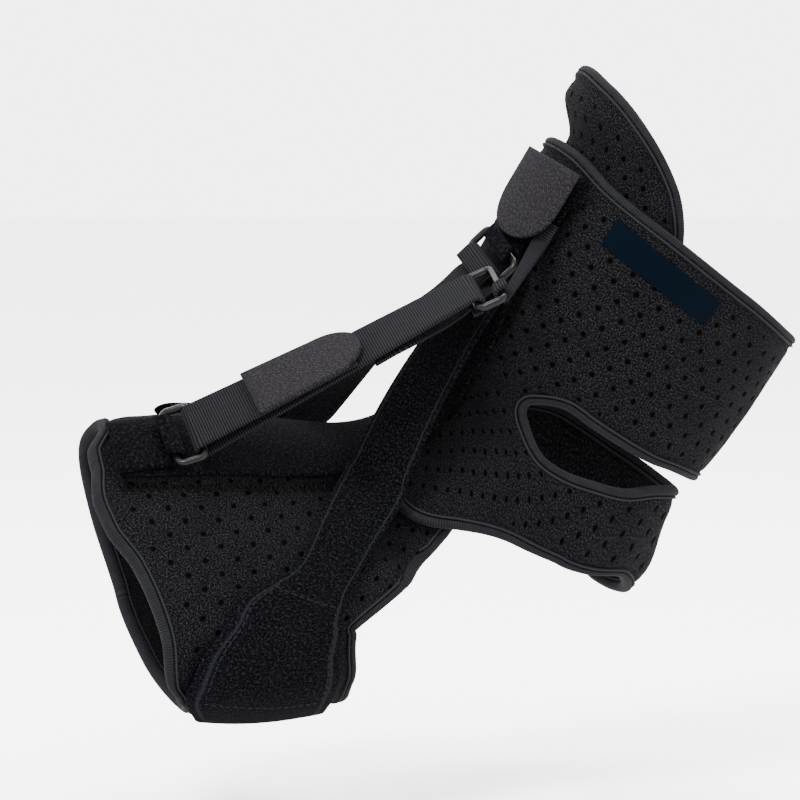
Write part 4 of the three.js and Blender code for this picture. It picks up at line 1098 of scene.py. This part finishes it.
def inner_around(around):
    """An angle of the outer side as it is on the inner side: squeezed about the crest."""
    return INNER_CREST - (around - INNER_CREST) * INNER_SQUEEZE


def flare_row(row, turn_to, shares):
    """A row of the flare: points between its toe edge and its rear edge on the limb."""
    toe_along, toe_around, rear_along, rear_around, lift = row
    share = (shares + 1) / 2
    return on_limb(blend(toe_along, rear_along, share),
                   turn_to(blend(toe_around, rear_around, share)), lift)


# The two side straps: sewn end, where its width has turned, angles and course
LATERAL = (LATERAL_END, 1, lambda around: around, FLARE_COURSE)
MEDIAL = (MEDIAL_END, MEDIAL_TURNED, inner_around, MEDIAL_COURSE)


def side_strap_rows(end, turned, turn_to, course, shares):
    """Rows of a side strap: a bowed straight run from its sewn end to the foot, and the flare.
    At turned, a share of the run, its width has turned to lie as the flare's does."""
    edges = np.array([-1.0, 1.0])
    toe, rear = flare_row(course[0], turn_to, edges)
    landing = (0.5 * (toe + rear), unit(rear - toe))
    at = on_limb(*end)
    facing = outward_at(np.float64(end[0]), np.float64(end[1]))
    wide = unit(np.cross(landing[0] - at, facing))
    if np.dot(wide, landing[1]) < 0:
        wide = -wide
    share = np.linspace(0, 0.94, 10)
    centres, _ = between((at, wide), landing, share)
    widths = unit(blend(wide, landing[1], np.minimum(share / turned, 1)[:, None]))
    span = moved((centres, widths), facing, SIDE_STRAP_BOW * 4 * share * (1 - share))
    air = air_rows(joined(span, single(landing)), STRAP_WIDTH, shares)[:-1]
    flare = np.array([flare_row(row, turn_to, shares) for row in course])
    return np.concatenate([air, flare])


def side_strap_patches(end, turned, turn_to, course):
    """Loop cloth strap with rounded edges and a slightly crowned face."""
    shares, heights = edge_profile(STRAP_WIDTH, STRAP_THICKNESS, 15)
    rows = side_strap_rows(end, turned, turn_to, course, shares)
    return strap_patches(rows, STRAP_THICKNESS, heights, finer=5)


def sole_strap_patches():
    """The wide strap round the sole: rows from its toe edge to its rear edge."""
    shares, heights = edge_profile(SOLE_WIDTH, STRAP_THICKNESS, 23)
    start = SOLE_COURSE[0][0]
    around = np.linspace(start, 360 + inner_around(start), 110)
    read = np.where(np.abs(around) > 180, 360 - np.abs(around), np.abs(around))
    toe, rear = read_table(SOLE_COURSE, read, 1), read_table(SOLE_COURSE, read, 2)
    share = (shares + 1) / 2
    along = blend(toe[:, None], rear[:, None], share[None, :])
    lift = TAPE_THICKNESS / 2 - WALL / 2 + CLEARANCE + STRAP_THICKNESS / 2
    rows = on_limb(along, np.broadcast_to(around[:, None], along.shape), lift)
    return strap_patches(rows, STRAP_THICKNESS, heights, finer=1)


def instep_band_patches():
    """The loop band up the instep and the shin, with creases across it at the ankle's bend."""
    shares, heights = edge_profile(BAND_WIDTH, BAND_THICKNESS, 23)
    along = np.linspace(BAND_COURSE[0][0], BAND_COURSE[-1][0], 220)
    middle = read_table(BAND_COURSE, along, 1)[:, None]
    half = read_table(BAND_COURSE, along, 2)[:, None]
    bend = np.exp(-(((along - 4.6) / 0.9) ** 2))[:, None]
    crease = 0.3 * np.sin(along * 2 * np.pi / 0.27)[:, None] * bend * (1 - shares[None, :] ** 4)
    lift = BAND_RISE + BAND_THICKNESS / 2 + crease
    rows = on_limb(along[:, None], middle + half * shares[None, :], lift)
    return strap_patches(rows, BAND_THICKNESS, heights, finer=1)


def label_patches():
    """The bare label, sewn flat on the cuff."""
    left, right, top_left, top_right, height = LABEL
    shares, heights = edge_profile(LABEL_WIDTH, LABEL_THICKNESS, 9)
    across = np.linspace(0, 1, 60)
    around = blend(left, right, across)
    top = blend(top_left, top_right, across)
    along = top[:, None] + height * (shares[None, :] + 1) / 2
    angles = np.broadcast_to(around[:, None], along.shape)
    lift = crumple(cloth_coordinates(along, angles), along, angles) + FACE_RISE
    rows = on_limb(along, angles, lift + LABEL_THICKNESS / 2)
    return strap_patches(rows, LABEL_THICKNESS, heights, finer=1)


# Stitches
def stitch_patches(ends, radius, sink=0.25, rise=0.5, samples=7):
    """Stitches as short thin tubes: each runs straight between two holes, sinks at both and
    rises between them by a half sine."""
    patches = []
    share = np.linspace(0, 1, samples)[:, None]
    for start, end, out in ends:
        path = blend(start, end, share) + out * (rise * np.sin(np.pi * share) - sink)
        patches += tube_patches(path, radius)
    return patches


def zigzag_stitches(table, pitch, reach, lift):
    """Ends of the stitches of a zigzag seam: points on alternate sides of its middle line,
    half a pitch apart down the line."""
    keys = np.array([row[0] for row in table], float)
    fine = np.linspace(keys[0], keys[-1], 200)
    around = read_table(table, fine)
    line = on_limb(fine, around, lift)
    run = row_lengths(line)
    at = np.arange(0, run[-1], pitch / 2)
    points = cubic_through(run, line, at)
    along = np.interp(at, run, fine)
    out = outward_at(along, np.interp(at, run, around))
    ahead = unit(np.gradient(points, axis=0))
    aside = np.cross(ahead, out) * (reach / 2) * np.where(np.arange(len(at)) % 2, 1, -1)[:, None]
    points = points + aside
    return [(points[k], points[k + 1], out[k]) for k in range(len(points) - 1)]


def running_stitches(line, outs, pitch, gap):
    """Ends of a straight seam's stitches: one for each pitch of a line, less a gap."""
    run = row_lengths(line)
    at = np.arange(0, run[-1] - pitch, pitch)
    start, end = cubic_through(run, line, at), cubic_through(run, line, at + pitch - gap)
    out = unit(cubic_through(run, outs, at))
    return list(zip(start, end, out))


def flare_seam():
    """Lines of the box seam on the flare, 2.5 mm inside its edges, and its outward sides."""
    shares = np.linspace(-1, 1, 41)
    rows = side_strap_rows(*LATERAL, shares)[-7:-1]
    keys = row_lengths(rows[:, 20])
    grid = cubic_through(keys, rows, np.linspace(keys[0], keys[-1], 40))
    normal = unit(np.cross(np.gradient(grid, axis=0), np.gradient(grid, axis=1)))
    outer = outward_at(np.float64(7.5), np.float64(60))
    if np.sum(normal[20, 20] * outer) < 0:
        normal = -normal
    face = grid + normal * STRAP_THICKNESS / 2
    picks = [(slice(None), 4), (slice(None), 36), (1, slice(4, 37)), (38, slice(4, 37))]
    return [(face[pick], normal[pick]) for pick in picks]


# Settings
def size_property(name, description, default):
    """A length in millimetres."""
    return bpy.props.FloatProperty(name=name, description=description, default=default, min=0.1)


def colour_property(name, description, code):
    """A colour from its sRGB hex code."""
    return bpy.props.FloatVectorProperty(name=name, description=description, subtype="COLOR",
                                         size=3, min=0, max=1, default=linear(code))


class SplintSizes(bpy.types.PropertyGroup):
    """Sizes of the patterns in the cloth, in millimetres."""

    hole: size_property("Hole", "Diameter of the punched holes, in millimetres", 1.6)
    ankle_pitch: size_property("Ankle pitch", "Between holes of a row on the ankle wrap", 8.4)
    ankle_spacing: size_property("Ankle spacing", "Between rows on the ankle wrap", 4.9)
    foot_pitch: size_property("Foot pitch", "Between holes of a row on the foot wrap", 9.6)
    foot_spacing: size_property("Foot spacing", "Between rows on the foot wrap", 5.6)
    thread: size_property("Thread", "Thickness of the sewing thread, in millimetres", 0.66)
    zigzag: size_property("Zigzag", "Length of one zigzag, in millimetres", 3.1)
    zigzag_reach: size_property("Zigzag reach", "Height of the zigzag, in millimetres", 3.0)


class SplintColours(bpy.types.PropertyGroup):
    """Colours of the cloths, tape, plastic and thread."""

    cloth: colour_property("Cloth", "Knitted face of the foam rubber", "#060607")
    tape: colour_property("Tape", "Edge tape", "#0b0b0d")
    loop: colour_property("Loop cloth", "Band and side straps", "#030304")
    webbing: colour_property("Webbing", "Front strap", "#050506")
    hook: colour_property("Hook tape", "Tabs", "#0a090b")
    plush: colour_property("Plush", "Straps that hold the rings", "#020203")
    plastic: colour_property("Plastic", "Rings", "#040405")
    label: colour_property("Label", "Bare label", "#010409")
    thread: colour_property("Thread", "Seams", "#010101")
    box_thread: colour_property("Box seam", "Thread of the box seam", "#0e0e10")
    floor: colour_property("Floor", "Floor of the stage", "#f4f4f4")


def sizes():
    """The scene's sizes."""
    return bpy.context.scene.splint_sizes


def colours():
    """The scene's colours."""
    return bpy.context.scene.splint_colours


def kept(name, make, colour, *settings):
    """A material in one of the scene's colours, made once."""
    return bpy.data.materials.get(name) or make(name, getattr(colours(), colour), *settings)


def cloth_of(part):
    """The punched cloth of the ankle or the foot, with the holes' pitch, spacing and size."""
    return kept("punched neoprene, " + part, neoprene, "cloth", *holes_of(part))


def holes_of(part):
    """Between the holes of a row, between the rows, and across a hole."""
    return getattr(sizes(), part + "_pitch"), getattr(sizes(), part + "_spacing"), sizes().hole


# Operators
class SPLINT_OT_ankle_wrap(bpy.types.Operator):
    """Make the punched cloth of the cuff and heel band, and the flap inside the cuff"""

    bl_idname = "splint.ankle_wrap"
    bl_label = "Ankle wrap"

    def execute(self, context):
        cuff, flap = ankle_wrap_patches(), inner_flap_patches()
        cloth = cloth_of("ankle")
        make_piece("ankle_cloth", cuff, cloth, ["ankle_wrap"])
        make_piece("flap_cloth", flap, cloth, ["inner_flap"])
        return {"FINISHED"}


class SPLINT_OT_foot_wrap(bpy.types.Operator):
    """Make the punched cloth round the forefoot"""

    bl_idname = "splint.foot_wrap"
    bl_label = "Foot wrap"

    def execute(self, context):
        foot = foot_wrap_patches()
        make_piece("foot_cloth", foot, cloth_of("foot"), ["foot_wrap"])
        return {"FINISHED"}


class SPLINT_OT_tapes(bpy.types.Operator):
    """Make the tapes that bind the edges of the cloth and the slot"""

    bl_idname = "splint.tapes"
    bl_label = "Edge tapes"

    def execute(self, context):
        ring = ring_angles(220)[:-1]
        tongue = np.linspace(30, 60, 25)
        foot = ring_angles(190, np.concatenate([tongue, -tongue]))
        flap = np.linspace(FLAP_TOP[0][0] + 2, FLAP_TOP[-1][0], 130)
        edges = [
            ("cuff", CUFF_TOP, 1, middle_of_ankle_wrap, ring, True),
            ("band", BAND_LOW, -1, middle_of_ankle_wrap, ring, True),
            ("toe", TOE_EDGE, -1, middle_of_foot_wrap, foot[:-1], True),
            ("rear", REAR_EDGE, 1, middle_of_foot_wrap, foot[:-1], True),
            ("flap", FLAP_TOP, 1, middle_of_flap, flap, False),
        ]
        tape = kept("binding tape", binding_tape, "tape")
        for name, *edge in edges:
            make_piece(name + "_tape", edge_tape(*edge), tape, [name + "_binding"])
        make_piece("slot_tape", slot_tape_patches(), tape, ["slot_binding"])
        return {"FINISHED"}


class SPLINT_OT_bands(bpy.types.Operator):
    """Make the loop band up the shin, the strap round the sole and the two side straps"""

    bl_idname = "splint.bands"
    bl_label = "Bands and side straps"

    def execute(self, context):
        band = kept("brushed loop cloth", brushed_loop, "loop", 1.0, 0.0)
        strap = kept("brushed loop strap", brushed_loop, "loop", 1.0, 0.45)
        pieces = [
            ("loop_band", instep_band_patches(), band, "instep_band", "laid"),
            ("sole_strap_cloth", sole_strap_patches(), strap, "sole_strap", "laid"),
            ("outer_side_strap", side_strap_patches(*LATERAL), strap, "side_strap_lateral",
             "stretched"),
            ("inner_side_strap", side_strap_patches(*MEDIAL), strap, "side_strap_medial",
             "stretched"),
        ]
        for name, patches, cloth, node, held in pieces:
            piece = make_piece(name, patches, cloth, [node])
            declare_strap(piece)
        return {"FINISHED"}


class SPLINT_OT_rings(bpy.types.Operator):
    """Make the three rings of round moulded wire"""

    bl_idname = "splint.rings"
    bl_label = "Rings"

    def execute(self, context):
        plastic = kept("moulded nylon", moulded_nylon, "plastic")
        for name, seat in (("toe", TOE_RING), ("shin", SHIN_RING), ("side", SIDE_RING)):
            wire = ring_patches(seat)
            make_piece(name + "_ring_wire", wire, plastic, [name + "_ring"])
        return {"FINISHED"}


class SPLINT_OT_front_strap(bpy.types.Operator):
    """Make the front strap's two ends of webbing"""

    bl_idname = "splint.front_strap"
    bl_label = "Front strap"

    def execute(self, context):
        woven = kept("ribbed webbing", webbing, "webbing")
        pieces = [
            ("front_webbing", front_strap_patches(), "front_strap",
             ["toe_ring_wire", "side_ring_wire"]),
            ("upper_webbing", front_upper_patches(), "front_strap_upper", ["shin_ring_wire"]),
        ]
        for name, patches, node, rests_on in pieces:
            strap = make_piece(name, patches, woven, [node])
            declare_strap(strap)
        return {"FINISHED"}


class SPLINT_OT_tabs(bpy.types.Operator):
    """Make the two hook tabs"""

    bl_idname = "splint.tabs"
    bl_label = "Hook tabs"

    def execute(self, context):
        hook = kept("hook tape", hook_tape, "hook")
        make_piece("front_tab", front_tab_patches(), hook, ["front_strap_tab"])
        make_piece("shin_hook_tab", shin_tab_patches(), hook, ["shin_tab"])
        return {"FINISHED"}


class SPLINT_OT_anchors(bpy.types.Operator):
    """Make the straps that hold the rings"""

    bl_idname = "splint.anchors"
    bl_label = "Ring straps"

    def execute(self, context):
        plush = kept("plush loop cloth", brushed_loop, "plush", 1.6, 0.0)
        woven = kept("ribbed webbing", webbing, "webbing")
        toe = anchor_patches(TOE_ANCHOR, TOE_RING, PLUSH_THICKNESS)
        shin = anchor_patches(SHIN_ANCHOR, SHIN_RING, PLUSH_THICKNESS)
        side = anchor_patches(SIDE_ANCHOR, SIDE_RING, WEBBING_THICKNESS, SIDE_ANCHOR_ASIDE)
        make_piece("toe_plush", toe, plush, ["toe_anchor_strap"])
        make_piece("shin_plush", shin, plush, ["shin_anchor_strap"])
        make_piece("side_loop", side, woven, ["side_anchor_strap"])
        return {"FINISHED"}


class SPLINT_OT_label(bpy.types.Operator):
    """Make the bare woven label"""

    bl_idname = "splint.label"
    bl_label = "Label"

    def execute(self, context):
        satin = kept("woven satin label", woven_label, "label")
        make_piece("bare_label", label_patches(), satin, ["label_patch"])
        return {"FINISHED"}


class SPLINT_OT_seams(bpy.types.Operator):
    """Make the zigzag seams beside the bands and the box seam on the side strap"""

    bl_idname = "splint.seams"
    bl_label = "Seams"

    def execute(self, context):
        radius = sizes().thread / 2
        dark = kept("sewing thread", sewing_thread, "thread")
        for name, table in ZIGZAGS.items():
            ends = zigzag_stitches(table, sizes().zigzag, sizes().zigzag_reach, 2 * FACE_RISE)
            make_piece(name, stitch_patches(ends, radius), dark)
        ends = []
        for line, outs in flare_seam():
            ends += running_stitches(line, outs, *BOX_STITCH)
        patches = stitch_patches(ends, radius * 0.8, 0.22, 0.3, 5)
        light = kept("light sewing thread", sewing_thread, "box_thread")
        make_piece("flare_seam", patches, light)
        return {"FINISHED"}


# The camera, in metres: where it looks, how far it stands back and how steeply it looks down
LOOK_AT = (-0.04, 0.00282, 0.03054)
CAMERA_DISTANCE = 1.0
CAMERA_TILT = 5.28
CAMERA_LENS = 135
# Soft lights, in metres and watts: place, width, power
LIGHTS_AIM = (-0.03, 0, 0.03)
LIGHTS = {
    "key": ((-0.5, -0.6, 1.0), 0.35, 34),
    "fill": ((0.9, -0.9, 0.35), 0.8, 8),
    "top": ((0.1, 0.35, 1.1), 0.5, 22),
}
WORLD_STRENGTH = 5.0
FLOOR_REACH = 6.0
FLOOR_HEIGHT = -0.097


def link_new(name, data):
    """A new object in the scene."""
    thing = bpy.data.objects.new(name, data)
    bpy.context.scene.collection.objects.link(thing)
    return thing


def soft_light(name, place, width, power):
    """An area light at a place, facing the splint."""
    data = bpy.data.lights.new(name, "AREA")
    data.size, data.energy = width, power
    lamp = link_new(name, data)
    lamp.location = place
    aim = Vector(LIGHTS_AIM) - Vector(place)
    lamp.rotation_euler = aim.to_track_quat("-Z", "Y").to_euler()


class SPLINT_OT_stage(bpy.types.Operator):
    """Make the floor, the soft light and the camera"""

    bl_idname = "splint.stage"
    bl_label = "Stage"

    def execute(self, context):
        scene = bpy.context.scene
        material = bpy.data.materials.new("matte floor")
        material.use_nodes = True
        shader = material.node_tree.nodes["Principled BSDF"]
        shader.inputs["Base Color"].default_value = shade(colours().floor)
        shader.inputs["Roughness"].default_value = 0.9
        mesh = bpy.data.meshes.new("floor")
        corners = [(x * FLOOR_REACH, y * FLOOR_REACH, FLOOR_HEIGHT)
                   for x, y in ((-1, -1), (1, -1), (1, 1), (-1, 1))]
        mesh.from_pydata(corners, [], [(0, 1, 2, 3)])
        mesh.materials.append(material)
        link_new("floor", mesh)
        world = bpy.data.worlds.new("studio")
        world.use_nodes = True
        world.node_tree.nodes["Background"].inputs["Color"].default_value = (1, 1, 1, 1)
        world.node_tree.nodes["Background"].inputs["Strength"].default_value = WORLD_STRENGTH
        scene.world = world
        for name, settings in LIGHTS.items():
            soft_light(name, *settings)
        data = bpy.data.cameras.new("camera")
        data.lens, data.sensor_width = CAMERA_LENS, 36
        data.clip_start, data.clip_end = 0.05, 50
        camera = link_new("camera", data)
        tilt = math.radians(CAMERA_TILT)
        x, y, z = LOOK_AT
        camera.location = (x, y - math.cos(tilt) * CAMERA_DISTANCE,
                           z + math.sin(tilt) * CAMERA_DISTANCE)
        camera.rotation_euler = (math.pi / 2 - tilt, 0, 0)
        scene.camera = camera
        return {"FINISHED"}


OPERATORS = (
    SPLINT_OT_stage, SPLINT_OT_ankle_wrap, SPLINT_OT_foot_wrap, SPLINT_OT_tapes,
    SPLINT_OT_bands, SPLINT_OT_rings, SPLINT_OT_front_strap, SPLINT_OT_tabs,
    SPLINT_OT_anchors, SPLINT_OT_label, SPLINT_OT_seams,
)


class SPLINT_PT_panel(bpy.types.Panel):
    """The splint's settings and operators"""

    bl_idname = "SPLINT_PT_panel"
    bl_label = "Night splint"
    bl_space_type = "VIEW_3D"
    bl_region_type = "UI"
    bl_category = "Splint"

    def draw(self, context):
        for group in (context.scene.splint_sizes, context.scene.splint_colours):
            for name in group.__annotations__:
                self.layout.prop(group, name)
        for operator in OPERATORS:
            self.layout.operator(operator.bl_idname)


CLASSES = (SplintSizes, SplintColours, *OPERATORS, SPLINT_PT_panel)


def register():
    """Registers the classes and puts the settings on the scene."""
    for cls in CLASSES:
        bpy.utils.register_class(cls)
    bpy.types.Scene.splint_sizes = bpy.props.PointerProperty(type=SplintSizes)
    bpy.types.Scene.splint_colours = bpy.props.PointerProperty(type=SplintColours)


def unregister():
    """Takes the settings and the classes away again."""
    del bpy.types.Scene.splint_colours
    del bpy.types.Scene.splint_sizes
    for cls in reversed(CLASSES):
        bpy.utils.unregister_class(cls)


def main():
    register()
    for operator in OPERATORS:
        group, name = operator.bl_idname.split(".")
        getattr(getattr(bpy.ops, group), name)()


if __name__ == "__main__":
    main()
